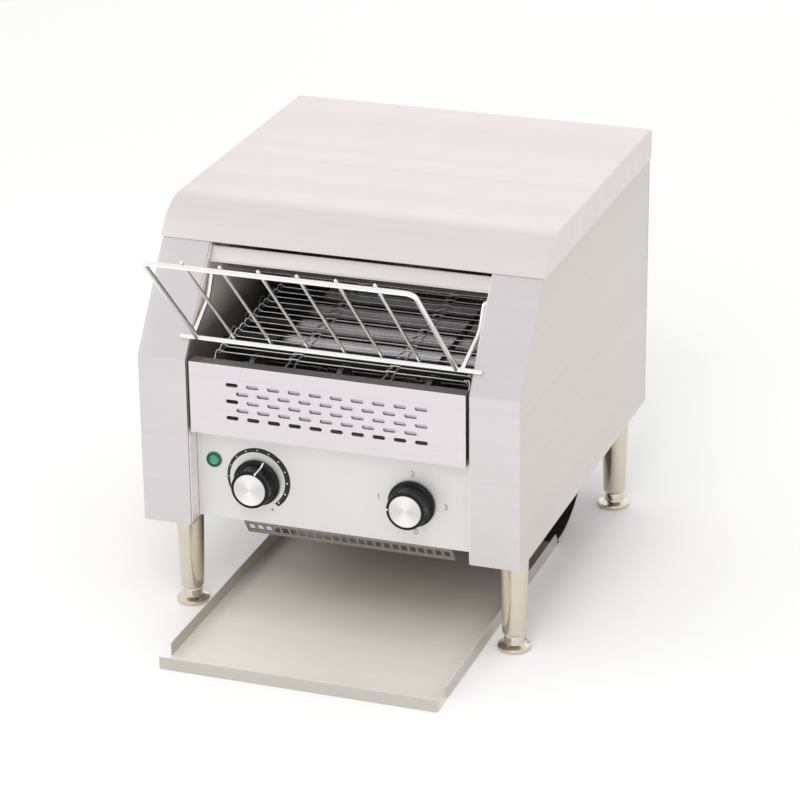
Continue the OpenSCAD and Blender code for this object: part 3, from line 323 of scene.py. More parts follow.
class Place:
    """Puts shapes into the scene, in metres and in the model's own frame."""

    shift: Array = np.zeros(3)

    @classmethod
    def find(cls) -> None:
        """Reads from the rear panel how far the model's frame is shifted from the maker's."""
        cls.shift = np.array([0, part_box("rear_panel")[1].y / MM - BODY_DEPTH, 0])

    @classmethod
    def metres(cls, points: Array) -> Array:
        """Maker's millimetres as the model's metres. Args: points. Returns: moved points."""
        return (np.asarray(points, float) + cls.shift) * MM

    @classmethod
    def put(
        cls,
        name: str,
        shape: Shape,
        finish: "Finish",
        body: str,
        slot: str,
        replaces: Sequence[str] = (),
        smooth: float = 35.0,
    ) -> bpy.types.Object:
        """Args:
            name: of the piece.
            shape: in maker's millimetres.
            finish: its material.
            body: the CAD body that it rides on.
            slot: the record's material slot.
            replaces: CAD nodes that it stands for.
            smooth: edges sharper than this many degrees stay sharp.
        Returns:
            The new object.
        """
        mesh = bpy.data.meshes.new(name)
        corners = np.concatenate([shape.quads.ravel(), shape.tris.ravel()]).astype(np.int32)
        sizes = np.concatenate([np.full(len(shape.quads), 4), np.full(len(shape.tris), 3)])
        mesh.vertices.add(len(shape.points))
        mesh.vertices.foreach_set("co", cls.metres(shape.points).astype(np.float32).ravel())
        mesh.loops.add(len(corners))
        mesh.loops.foreach_set("vertex_index", corners)
        mesh.polygons.add(len(sizes))
        starts = np.concatenate([[0], np.cumsum(sizes)[:-1]]).astype(np.int32)
        mesh.polygons.foreach_set("loop_start", starts)
        mesh.polygons.foreach_set("use_smooth", np.ones(len(sizes), bool))
        mesh.update(calc_edges=True)
        mesh.set_sharp_from_angle(angle=math.radians(smooth))
        piece = bpy.data.objects.new(name, mesh)
        bpy.context.scene.collection.objects.link(piece)
        return cls.declare(piece, finish, body, slot, replaces)

    @staticmethod
    def declare(
        piece: bpy.types.Object,
        finish: "Finish",
        body: str,
        slot: str,
        replaces: Sequence[str] = (),
    ) -> bpy.types.Object:
        """Gives a piece its material and body, and hides the CAD nodes that it stands for.

        Args:
            piece: the object.
            finish: its material.
            body: the CAD body that it rides on.
            slot: not used.
            replaces: CAD nodes that it stands for.
        Returns:
            The same object.
        """
        piece.data.materials.clear()
        piece.data.materials.append(finish.material())
        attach(piece, body)
        if replaces:
            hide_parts(*replaces)
        LOG.info("piece %s: %d faces on %s", piece.name, len(piece.data.polygons), body)
        return piece

    @classmethod
    def softened(
        cls,
        node: str,
        finish: "Finish",
        body: str,
        slot: str,
        bevel: float,
    ) -> bpy.types.Object:
        """A copy of a CAD node with its sharp edges broken, as on real folded and cut sheet.

        The copy's loose triangles are merged and its flat faces made whole, and a Bevel
        modifier then rounds each edge that is sharper than SHARP_DEG.

        Args:
            node: the CAD node, which the copy replaces.
            finish: its material.
            body: the CAD body that it rides on.
            slot: the record's material slot.
            bevel: width of the broken edge in millimetres.
        Returns:
            The new object.
        """
        source = bpy.data.objects[node]
        mesh = source.data.copy()
        mesh.name = node + "_sheet"
        work = bmesh.new()
        work.from_mesh(mesh)
        bmesh.ops.remove_doubles(work, verts=work.verts, dist=2e-6)
        bmesh.ops.dissolve_limit(
            work, angle_limit=math.radians(0.5), verts=work.verts, edges=work.edges
        )
        work.to_mesh(mesh)
        work.free()
        mesh.polygons.foreach_set("use_smooth", np.ones(len(mesh.polygons), bool))
        mesh.set_sharp_from_angle(angle=math.radians(SHARP_DEG))
        piece = bpy.data.objects.new(node + "_sheet", mesh)
        bpy.context.scene.collection.objects.link(piece)
        broken_edges(piece, bevel, SHARP_DEG)
        return cls.declare(piece, finish, body, slot, [node])

    @classmethod
    def dress(cls, rows: Sequence[tuple[str, "Finish", str, str, float]]) -> None:
        """Softens several nodes. Args: rows of node, finish, body, slot and width of edge."""
        for node, finish, body, slot, bevel in rows:
            cls.softened(node, finish, body, slot, bevel)

    @staticmethod
    def second_finish(
        piece: bpy.types.Object, finish: "Finish", chosen: Callable[[Array], Array]
    ) -> None:
        """Gives some of a piece's faces a finish of their own.

        Args:
            piece: the object.
            finish: the material of the chosen faces.
            chosen: tells from the faces' normals which they are.
        """
        mesh = piece.data
        mesh.materials.append(finish.material())
        normals = np.zeros(len(mesh.polygons) * 3, np.float32)
        mesh.polygons.foreach_get("normal", normals)
        marks = chosen(normals.reshape(-1, 3)).astype(np.int32)
        mesh.polygons.foreach_set("material_index", marks)


def thickened(piece: bpy.types.Object, thickness: float, edge: float) -> None:
    """Gives an open sheet its thickness, inwards, and breaks its edges.

    Args:
        piece: the sheet.
        thickness: in millimetres.
        edge: width of the broken edge in millimetres.
    """
    wall = piece.modifiers.new("sheet", "SOLIDIFY")
    wall.thickness = thickness * MM
    wall.offset = -1.0
    wall.use_even_offset = True
    broken_edges(piece, edge, 50.0)


# ---- finishes -------------------------------------------------------------------------------

Socket = bpy.types.NodeSocket
Colour = tuple[float, float, float]


def math_node(tree: bpy.types.NodeTree, operation: str, *values: Socket | float) -> Socket:
    """A Math node. Args: tree, operation, and inputs as sockets or numbers. Returns: its value."""
    node = tree.nodes.new("ShaderNodeMath")
    node.operation = operation
    for socket, value in zip(node.inputs, values):
        if isinstance(value, float):
            socket.default_value = value
        else:
            tree.links.new(value, socket)
    return node.outputs[0]


def shaded(colour: Sequence[float], factor: float) -> tuple[float, ...]:
    """A colour made lighter or darker. Args: colour, factor. Returns: the new colour."""
    return tuple(min(1.0, c * factor) for c in colour)


class Nodes:
    """Builds one material's node tree."""

    def __init__(self, name: str) -> None:
        """Starts a material with its shader. Args: name, of the material."""
        self.made = bpy.data.materials.new(name)
        self.made.use_nodes = True
        self.tree = self.made.node_tree
        self.shader = self.tree.nodes["Principled BSDF"]
        self.coords = self.tree.nodes.new("ShaderNodeTexCoord").outputs["Object"]

    def set(self, **values: object) -> None:
        """Sets the shader's sockets. Args: values, by socket name with _ for a space."""
        for name, value in values.items():
            self.shader.inputs[name.replace("_", " ")].default_value = value

    def join(self, output: Socket, name: str) -> None:
        """Links an output to a socket of the shader. Args: output, and the socket's name."""
        self.tree.links.new(output, self.shader.inputs[name])

    def mapped(self, scale: Sequence[float], centre: Sequence[float] = (0, 0, 0)) -> Socket:
        """Object coordinates, scaled. Args: scale, and centre in metres. Returns: them."""
        node = self.tree.nodes.new("ShaderNodeMapping")
        node.vector_type = "TEXTURE"
        node.inputs["Location"].default_value = centre
        node.inputs["Scale"].default_value = [1 / s for s in scale]
        self.tree.links.new(self.coords, node.inputs["Vector"])
        return node.outputs["Vector"]

    def place(self, axis: str, vector: Socket | None = None) -> Socket:
        """One coordinate. Args: axis X, Y or Z, and of which vector. Returns: its value."""
        parts = self.tree.nodes.new("ShaderNodeSeparateXYZ")
        self.tree.links.new(self.coords if vector is None else vector, parts.inputs[0])
        return parts.outputs[axis]

    def noise(
        self, scale: float | Sequence[float], detail: float = 3.0, rough: float = 0.5
    ) -> Socket:
        """A noise texture.

        Args:
            scale: one for all axes, or one for each.
            detail: of the noise.
            rough: its roughness.
        Returns:
            The noise's value.
        """
        node = self.tree.nodes.new("ShaderNodeTexNoise")
        node.inputs["Scale"].default_value = 1.0
        node.inputs["Detail"].default_value = detail
        node.inputs["Roughness"].default_value = rough
        scales = (scale, scale, scale) if isinstance(scale, float) else scale
        self.tree.links.new(self.mapped(scales), node.inputs["Vector"])
        return node.outputs["Fac"]

    def spread(
        self, value: Socket, low: float, high: float, start: float = 0.3, stop: float = 0.7
    ) -> Socket:
        """A value's middle range spread between two others.

        Args:
            value: to spread.
            low: result at start.
            high: result at stop.
            start: lower end of the range.
            stop: upper end of the range.
        Returns:
            The result's output.
        """
        node = self.tree.nodes.new("ShaderNodeMapRange")
        node.inputs["From Min"].default_value = start
        node.inputs["From Max"].default_value = stop
        node.inputs["To Min"].default_value = low
        node.inputs["To Max"].default_value = high
        self.tree.links.new(value, node.inputs["Value"])
        return node.outputs["Result"]

    def mixed(
        self, share: Socket, first: Socket | Sequence[float], second: Sequence[float]
    ) -> Socket:
        """Two colours mixed. Args: share of the second, and both. Returns: the colour's output."""
        node = self.tree.nodes.new("ShaderNodeMix")
        node.data_type = "RGBA"
        if isinstance(first, Socket):
            self.tree.links.new(first, node.inputs[6])
        else:
            node.inputs[6].default_value = (*first, 1)
        node.inputs[7].default_value = (*second, 1)
        self.tree.links.new(share, node.inputs[0])
        return node.outputs[2]

    def tone(self, value: Socket, first: Sequence[float], second: Sequence[float]) -> None:
        """Base colour between two by a value's middle range. Args: the value, both colours."""
        self.join(self.mixed(self.spread(value, 0.0, 1.0), first, second), "Base Color")

    def gloss(self, value: Socket, low: float, high: float) -> None:
        """Roughness between two by a value's middle range. Args: the value, both ends."""
        self.join(self.spread(value, low, high), "Roughness")

    def bump(self, height: Socket, strength: float, depth: float) -> None:
        """Bump on the shader. Args: height, strength, and depth in millimetres."""
        node = self.tree.nodes.new("ShaderNodeBump")
        node.inputs["Strength"].default_value = strength
        node.inputs["Distance"].default_value = depth * MM
        self.tree.links.new(height, node.inputs["Height"])
        self.join(node.outputs["Normal"], "Normal")


@dataclass(frozen=True)
class Finish:
    """A surface finish. Its material is made once."""

    name: str
    colour: Colour

    def material(self) -> bpy.types.Material:
        """The finish's material. Returns: the one made before, or a new one."""
        found = bpy.data.materials.get(self.name)
        if found is not None:
            return found
        nodes = Nodes(self.name)
        self.dress(nodes)
        return nodes.made

    def dress(self, nodes: Nodes) -> None:
        """Sets up the shader. Args: nodes, the new material's."""
        raise NotImplementedError


@dataclass(frozen=True)
class BrushedSheet(Finish):
    """Brushed sheet metal: long fine streaks in the colour, the gloss and the relief."""

    streak: tuple[float, float, float] = (3.0, 600.0, 600.0)
    rough: float = 0.36
    metal: float = 0.9
    contrast: float = 0.02
    cloud: float = 0.03

    def dress(self, nodes: Nodes) -> None:
        """Streaks and slow clouds. Args: nodes, the new material's."""
        nodes.set(Metallic=self.metal, IOR=1.9)
        streaks = nodes.noise(self.streak, 4.0, 0.6)
        clouds = nodes.noise(9.0, 2.0)
        wipes = nodes.noise(tuple(s / 12 for s in self.streak))
        base = nodes.mixed(
            nodes.spread(streaks, 0.0, 1.0),
            shaded(self.colour, 1 - self.contrast),
            shaded(self.colour, 1 + self.contrast),
        )
        patches = nodes.spread(clouds, 0.0, self.cloud * 4)
        nodes.join(nodes.mixed(patches, base, shaded(self.colour, 0.86)), "Base Color")
        nodes.gloss(wipes, self.rough - 0.05, self.rough + 0.07)
        nodes.bump(streaks, 0.18, 0.02)


@dataclass(frozen=True)
class DarkBandSheet(BrushedSheet):
    """Brushed sheet with a darker band along an axis, in metres; on the tray it is painted shade.
    """

    brown: Colour = (0.17, 0.145, 0.12)
    axis: str = "Z"
    fade: float = 0.01
    dark_from: float = 0.205
    dark_below: float = 0.280
    plain_above: float = 0.312

    def dress(self, nodes: Nodes) -> None:
        """Brown in the band, with slow changes at its ends. Args: nodes, the new material's."""
        super().dress(nodes)
        under = nodes.shader.inputs["Base Color"].links[0].from_socket
        # Darker band along the axis: painted shade on the tray, a darker brown band low on the
        # inner walls.
        place = nodes.place(self.axis)
        fall = nodes.spread(place, 1.0, 0.0, self.dark_below, self.plain_above)
        start = nodes.spread(place, 0.0, 1.0, self.dark_from - self.fade, self.dark_from)
        share = math_node(nodes.tree, "MULTIPLY", fall, start)
        nodes.join(nodes.mixed(share, under, self.brown), "Base Color")


@dataclass(frozen=True)
class Plated(Finish):
    """Bright plate on steel: mirror gloss with fine hazing and a little waviness."""

    rough: float = 0.12
    haze: float = 0.08
    wave: float = 0.05

    def dress(self, nodes: Nodes) -> None:
        """Haze and waves. Args: nodes, the new material's."""
        nodes.set(Metallic=1.0)
        haze = nodes.noise(60.0, 4.0)
        nodes.tone(haze, shaded(self.colour, 0.95), self.colour)
        nodes.gloss(haze, self.rough, self.rough + self.haze)
        nodes.bump(nodes.noise(150.0, 2.0), self.wave, 0.2)


@dataclass(frozen=True)
class DrawnWire(Finish):
    """Stainless wire, browned where it runs hot."""

    rough: float = 0.28
    browned: Colour = (0.30, 0.24, 0.19)
    share: float = 0.4

    def dress(self, nodes: Nodes) -> None:
        """Patches of heat colour. Args: nodes, the new material's."""
        nodes.set(Metallic=1.0)
        heat = nodes.spread(nodes.noise(25.0), 0.0, self.share, 0.35, 0.75)
        grain = nodes.noise(900.0, 2.0)
        nodes.join(nodes.mixed(heat, self.colour, self.browned), "Base Color")
        nodes.gloss(grain, self.rough, self.rough + 0.14)
        nodes.bump(grain, 0.15, 0.03)


@dataclass(frozen=True)
class Lacquer(Finish):
    """Flat paint or print, with the faintest orange peel."""

    rough: float = 0.45
    peel: float = 0.08
    metal: float = 0.0

    def dress(self, nodes: Nodes) -> None:
        """Orange peel and faint clouds. Args: nodes, the new material's."""
        nodes.set(Metallic=self.metal, IOR=1.45)
        peel = nodes.noise(700.0, 2.0)
        nodes.tone(nodes.noise(20.0), shaded(self.colour, 0.975), self.colour)
        nodes.gloss(peel, self.rough - 0.04, self.rough + 0.06)
        nodes.bump(peel, self.peel, 0.05)


@dataclass(frozen=True)
class Moulded(Finish):
    """Moulded plastic, glossy or matt, with fine grain and handling marks."""

    rough: float = 0.2
    grain: float = 0.04
    coat: float = 0.0
    index: float = 1.5

    def dress(self, nodes: Nodes) -> None:
        """Grain and marks. Args: nodes, the new material's."""
        nodes.set(Metallic=0.0, IOR=self.index, Coat_Weight=self.coat, Coat_Roughness=0.06)
        marks = nodes.noise(90.0, 5.0, 0.7)
        nodes.tone(marks, shaded(self.colour, 0.85), shaded(self.colour, 1.25))
        nodes.gloss(marks, self.rough * 0.8, self.rough * 1.5)
        nodes.bump(nodes.noise(1400.0, 2.0), self.grain * 4, 0.02)


@dataclass(frozen=True)
class SpunCap(Finish):
    """Metal turned on a lathe: fine circles round the piece's own axis along y."""

    centre: tuple[float, float, float] = (0.0, 0.0, 0.0)

    def dress(self, nodes: Nodes) -> None:
        """Circles about the centre, and fans of light and shade. Args: nodes, the material's."""
        nodes.set(Metallic=1.0)
        tree = nodes.tree
        local = nodes.mapped((1.0, 0.0001, 1.0), self.centre)
        rings = tree.nodes.new("ShaderNodeTexWave")
        rings.wave_type = "RINGS"
        rings.rings_direction = "Y"
        rings.inputs["Scale"].default_value = 600.0
        rings.inputs["Distortion"].default_value = 0.6
        rings.inputs["Detail"].default_value = 2.0
        tree.links.new(local, rings.inputs["Vector"])
        angle = math_node(tree, "ARCTAN2", nodes.place("Z", local), nodes.place("X", local))
        fans = math_node(tree, "COSINE", math_node(tree, "MULTIPLY", angle, 2.0))
        share = nodes.spread(fans, 0.0, 1.0, -0.9, 0.9)
        light, shade = shaded(self.colour, 1.10), shaded(self.colour, 0.84)
        nodes.join(nodes.mixed(share, light, shade), "Base Color")
        nodes.join(nodes.spread(rings.outputs["Fac"], 0.26, 0.36, 0.0, 1.0), "Roughness")
        nodes.bump(rings.outputs["Fac"], 0.12, 0.03)


@dataclass(frozen=True)
class FrostedTube(Finish):
    """Frosted quartz, hazy and a little lavender, with painted shade at its left end."""

    end_shade: Colour = (0.035, 0.032, 0.03)
    shade_full_to: float = -0.088
    clear_from: float = -0.078

    def dress(self, nodes: Nodes) -> None:
        """Haze along the tube, and painted shade at the left end. Args: nodes, the new material's.
        """
        nodes.set(Metallic=0.0, IOR=1.45, Transmission_Weight=0.1)
        haze = nodes.noise((20.0, 160.0, 160.0))
        body = nodes.mixed(nodes.spread(haze, 0.0, 1.0), shaded(self.colour, 0.8), self.colour)
        # Painted shade: the left end darkens to near black, for the shade between the belt's edge
        # and the wall.
        ends = nodes.spread(nodes.place("X"), 1.0, 0.0, self.shade_full_to, self.clear_from)
        nodes.join(nodes.mixed(ends, body, self.end_shade), "Base Color")
        nodes.gloss(haze, 0.22, 0.40)


@dataclass(frozen=True)
class LensGreen(Finish):
    """Clear coloured plastic that glows a little from within."""

    def dress(self, nodes: Nodes) -> None:
        """A soft glow with a darker net. Args: nodes, the new material's."""
        nodes.set(Metallic=0.0, IOR=1.49, Transmission_Weight=0.3, Emission_Strength=0.06)
        nodes.set(Emission_Color=(*self.colour, 1), Coat_Weight=0.8)
        facets = nodes.noise(500.0, 1.0)
        nodes.tone(facets, shaded(self.colour, 0.5), shaded(self.colour, 1.4))
        nodes.gloss(facets, 0.12, 0.3)
        nodes.bump(facets, 0.4, 0.2)


CASING = BrushedSheet("brushed_casing", (0.645, 0.61, 0.62), (2.5, 500.0, 500.0), 0.40, 0.85)
CASING_SIDE = BrushedSheet("brushed_side", (0.65, 0.612, 0.572), (500.0, 2.5, 500.0), 0.42, 0.85)
COVER = BrushedSheet("brushed_cover", (0.735, 0.68, 0.665), (2.5, 500.0, 500.0), 0.40, 0.85)
VENT = BrushedSheet("brushed_vent", (0.70, 0.66, 0.685), (2.5, 500.0, 500.0), 0.34, 0.93)
REAR = BrushedSheet("brushed_rear", (0.66, 0.65, 0.64), (500.0, 500.0, 2.5), 0.42, 0.85)
INNER = BrushedSheet("mill_sheet", (0.64, 0.59, 0.545), (400.0, 4.0, 400.0), 0.38, 0.5, 0.12, 0.2)
# Inner walls: a darker brown band low in the compartment, at the heights set in the band sheet
# class.
WALL = DarkBandSheet("wall_sheet", (0.92, 0.86, 0.80), (60.0, 3.0, 60.0), 0.42, 0.2, 0.08, 0.1)
BAFFLE = BrushedSheet(
    "baffle_sheet", (0.55, 0.52, 0.55), (3.0, 400.0, 400.0), 0.40, 0.9, 0.05, 0.1
)
# Near black: partly the chute's heat darkening, partly painted shade inside the chute.
CHUTE = BrushedSheet(
    "darkened_sheet", (0.10, 0.085, 0.075), (3.0, 300.0, 300.0), 0.38, 0.9, 0.2, 0.2
)
# Painted shade: the tray's colour darkens towards the back, where it lies under the machine.
TRAY = DarkBandSheet(
    "tray_sheet", (0.93, 0.885, 0.81), (3.0, 400.0, 400.0), 0.5, 0.15, 0.02, 0.06,
    (0.33, 0.30, 0.27), "Y", 0.183, 0.041, 1.0, 1.1,
)
# Painted shade: a darker copy of the tray's sheet for its upright faces.
TRAY_SIDE_SHADE = BrushedSheet(
    "tray_sides_painted_shade", (0.56, 0.53, 0.48), (3.0, 400.0, 400.0), 0.42, 0.6, 0.03, 0.06
)
# Painted shade: the air strip's dark tone stands in for the shade under the control panel.
STRIP_PAINTED_SHADE = BrushedSheet("strip_sheet", (0.30, 0.28, 0.26), (3.0, 400.0, 400.0), 0.35, 0.9, 0.1, 0.1)
REFLECTOR = BrushedSheet(
    "bright_reflector", (0.80, 0.78, 0.76), (3.0, 300.0, 300.0), 0.25, 0.95, 0.05, 0.1
)
# Painted shade: the lower reflector, inside the belt's loop, is near black for the shade there.
LOWER_REFLECTOR_SHADE = BrushedSheet(
    "lower_reflector_painted_shade", (0.07, 0.065, 0.06), (3.0, 300.0, 300.0), 0.35, 0.9, 0.12, 0.15
)
PANEL = Lacquer("control_lacquer", (0.70, 0.695, 0.688), metal=0.5)
INK = Lacquer("black_ink", (0.012, 0.012, 0.012), 0.5)
GREY_INK = Lacquer("grey_ink", (0.05, 0.05, 0.05), 0.5)
PAPER_INK = Lacquer("white_ink", (0.82, 0.82, 0.80), 0.5)
RACK = Plated("rack_plate", (0.93, 0.91, 0.88), 0.14)
NICKEL = Plated("leg_nickel_plate", (0.70, 0.63, 0.53), 0.14, 0.06, 0.015)
FOOT = Plated("foot_nickel_plate", (0.70, 0.64, 0.55), 0.08, 0.05, 0.01)
SCREWS = Plated("zinc_screws", (0.70, 0.70, 0.70), 0.22)
BELT = DrawnWire("belt_wire_steel", (0.92, 0.90, 0.88), 0.24, (0.42, 0.36, 0.31), 0.22)
# Painted shade: near-black rails, so that they sink into the shade under the belt.
RAIL_PAINTED_SHADE = DrawnWire("rail_painted_shade", (0.08, 0.075, 0.07), 0.4, (0.05, 0.045, 0.04))
SHAFT = DrawnWire("ground_bar", (0.58, 0.57, 0.56), 0.25, (0.40, 0.36, 0.32))
SPROCKET = DrawnWire("sprocket_plate", (0.16, 0.155, 0.15), 0.36, (0.10, 0.09, 0.08))
BRONZE = Plated("bush_bronze", (0.55, 0.38, 0.18), 0.35)
KNOB = Moulded("gloss_knob", (0.004, 0.0038, 0.004), 0.10, 0.01, 0.0, 1.32)
NYLON = Moulded("black_nylon", (0.02, 0.02, 0.02), 0.5)
CERAMIC = Moulded("white_ceramic", (0.80, 0.77, 0.70), 0.25, 0.02, 0.4)
FILAMENT = DrawnWire("filament_wire", (0.25, 0.21, 0.19), 0.5)
QUARTZ = FrostedTube("frosted_quartz", (0.93, 0.89, 0.94))
LENS = LensGreen("lens_green", (0.03, 0.38, 0.21))
BEZEL = Moulded("lamp_bezel_green", (0.01, 0.075, 0.045), 0.22, 0.02, 0.4)
CREAM = Moulded("cream_moulding", (0.74, 0.70, 0.60), 0.4)
BOARD = Moulded("board_green", (0.02, 0.16, 0.07), 0.3)
ENAMEL = Moulded("motor_enamel", (0.05, 0.055, 0.06), 0.35, 0.05)
CAN = Plated("zinc_can", (0.55, 0.55, 0.52), 0.3)


# ---- casing ---------------------------------------------------------------------------------


@dataclass
class Casing:
    """The sheet casing: cover, side panels and the plates between them."""

    half_w: float = 183.5
    wall_x: float = 135.0
    under_z: float = 106.0
    knee_z: float = 270.8
    seam_z: float = 363.2
    panel_top: float = 370.67
    tower_edge: float = 136.0
    lean_deg: float = 53.852
    cover_z: float = 392.7
    cover_half: float = 185.0
    cover_back: float = 421.5
    cover_bend: float = 52.0
    sheet: float = 1.2
    gap: float = 1.5

    def lean_y(self, z: Array | float) -> Array | float:
        """Depth of the leaning front at a height. Args: z. Returns: y, nought below the knee."""
        slope = math.tan(math.radians(self.lean_deg))
        return np.maximum(0.0, (np.asarray(z) - self.knee_z) / slope)

    def cover_line(self, inset: float) -> Array:
        """The cover's side outline, set in by a distance.

        It climbs the lean, follows an arc to the flat top, and turns down at the rear.

        Args:
            inset: distance inside the outer face.
        Returns:
            Rows of y and z.
        """
        slope = math.radians(self.lean_deg)
        off = self.gap - inset
        radius = self.cover_bend - inset
        crown = self.cover_z - self.cover_bend
        bend_z = self.cover_z - inset - radius * (1 - math.cos(slope))
        middle = float(self.lean_y(bend_z)) - off / math.sin(slope) + radius * math.sin(slope)
        foot = float(self.lean_y(self.seam_z)) - off / math.sin(slope)
        turn = slope * (1 - np.linspace(0, 1, 29))
        arc = np.stack([middle - radius * np.sin(turn), crown + radius * np.cos(turn)], -1)
        start = np.linspace([foot, self.seam_z], arc[0], 4)[:-1]
        rear = 3.0
        back = np.radians(np.linspace(0, 90, 7))
        corner = np.array([self.cover_back - rear, self.cover_z - rear])
        rounding = corner + (rear - inset) * np.stack([np.sin(back), np.cos(back)], -1)
        flat = np.linspace(arc[-1], rounding[0], 9)[1:-1]
        down = np.linspace(rounding[-1], [self.cover_back - inset, self.seam_z], 4)[1:]
        return np.concatenate([start, arc, flat, rounding, down])

    def cover(self) -> Shape:
        """The cover as one folded sheet.

        Across each station of the outline the surface runs straight, then round a small bend
        whose depth inside the outline grows as one less the cosine, then straight down a flange.

        Returns:
            The open sheet's outer face.
        """
        bend = 2.6
        steps = np.radians(np.linspace(0, 90, 6))
        right: list[Array] = []
        for turn in steps:
            line = self.cover_line(bend * (1 - math.cos(turn)))
            x = np.full(len(line), self.cover_half - bend + bend * math.sin(turn))
            right.append(np.column_stack([x, line]))
        edge = right[-1]
        steps_long = np.linalg.norm(np.diff(edge[:, 1:], axis=0), axis=1)
        run = np.concatenate([[0], np.cumsum(steps_long)])
        share = run / run[-1]
        hem = np.column_stack(
            [
                edge[:, 0],
                edge[0, 1] + (edge[-1, 1] - edge[0, 1]) * share,
                np.full(len(edge), self.seam_z),
            ]
        )
        flange = [edge + (hem - edge) * t for t in (0.33, 0.66, 1.0)]
        half = right + flange
        middle = [right[0] * (t, 1, 1) for t in (0.5, 0.0)]
        columns = [c * (-1, 1, 1) for c in half[::-1]] + [middle[0] * (-1, 1, 1), middle[1]]
        columns += [middle[0]] + half
        grid = np.stack(columns, axis=1)
        return surface(grid).facing((0, 200, 330))

    def front_line(self, inset: float) -> Array:
        """A tower's front outline, set in: upright, a small bend at the knee, then the lean.

        Args:
            inset: distance inside the outer face.
        Returns:
            Rows of y and z from the bottom up.
        """
        slope = math.radians(self.lean_deg)
        lean = (math.pi / 2) - slope
        radius = 4.0
        tangent = radius * math.tan(lean / 2)
        centre = np.array([radius, self.knee_z - tangent])
        turn = np.linspace(0, lean, 7)
        bend = centre + (radius - inset) * np.stack([-np.cos(turn), np.sin(turn)], -1)
        bottom = np.linspace([inset, self.under_z], bend[0], 8)[:-1]
        top_y = float(self.lean_y(self.panel_top)) + inset / math.sin(slope)
        top = np.linspace(bend[-1], [top_y, self.panel_top], 6)[1:]
        return np.concatenate([bottom, bend, top])

    def side_panel(self) -> Shape:
        """The right-hand side panel as one folded sheet.

        From a rear fold it runs along the side, round a small bend whose depth inside the front
        outline falls as one less the sine, and across the tower's front.

        Returns:
            The open sheet's outer face.
        """
        back = BODY_DEPTH - self.sheet - 0.3
        bend = 2.2
        columns: list[Array] = []
        edge = self.front_line(bend)
        rows = len(edge)
        heights = self.front_line(0.0)[:, 1]
        for x in (self.half_w - 16.0, self.half_w - bend - 6.0, self.half_w - bend):
            columns.append(np.column_stack([np.full(rows, x), np.full(rows, back), heights]))
        for turn in np.radians((22.5, 45.0, 67.5, 90.0)):
            x = self.half_w - bend * (1 - math.sin(turn))
            y = back - bend * (1 - math.cos(turn))
            columns.append(np.column_stack([np.full(rows, x), np.full(rows, y), heights]))
        last = columns[-1]
        start = np.column_stack([np.full(rows, self.half_w), edge])
        columns += [last + (start - last) * t for t in np.linspace(0, 1, 7)[1:]]
        for turn in np.radians((18.0, 36.0, 54.0, 72.0, 90.0)):
            line = self.front_line(bend * (1 - math.sin(turn)))
            x = self.half_w - bend * (1 - math.cos(turn))
            columns.append(np.column_stack([np.full(rows, x), line]))
        flat = self.front_line(0.0)
        for x in np.linspace(self.half_w - bend, self.tower_edge, 5)[1:]:
            columns.append(np.column_stack([np.full(rows, x), flat]))
        return surface(np.stack(columns, axis=1)).facing((self.wall_x, 220, 240))

    def build(self) -> None:
        """Makes the casing's pieces."""
        cover = Place.put("cover_sheet", self.cover(), COVER, "housing", "casing", ["top_cover"])
        thickened(cover, self.sheet, 0.25)
        panel = self.side_panel()
        for side, shape in ((Side.RIGHT, panel), (Side.LEFT, panel.mirrored())):
            name = side.name.lower()
            node = f"side_panel_{name}"
            piece = Place.put(f"side_sheet_{name}", shape, CASING_SIDE, "housing", "casing", [node])
            thickened(piece, self.sheet, 0.25)
            Place.second_finish(piece, CASING, lambda normals: normals[:, 1] < -0.45)
        Place.dress(
            [
                ("front_vent_panel", VENT, "housing", "casing", 0.28),
                ("control_panel", PANEL, "housing", "control_panel", 0.3),
                ("rear_panel", REAR, "housing", "casing", 0.25),
                ("upper_front_strip", COVER, "housing", "casing", 0.3),
                ("air_strip", STRIP_PAINTED_SHADE, "housing", "inner_steel", 0.2),
                ("vent_baffle", BAFFLE, "housing", "inner_steel", 0.2),
                ("inner_wall_left", WALL, "housing", "inner_steel", 0.2),
                ("tower_base_left", REAR, "housing", "casing", 0.2),
                ("inner_wall_right", WALL, "housing", "inner_steel", 0.2),
                ("tower_base_right", REAR, "housing", "casing", 0.2),
                ("fasteners", SCREWS, "housing", "screws", 0.12),
            ]
        )


# ---- controls -------------------------------------------------------------------------------


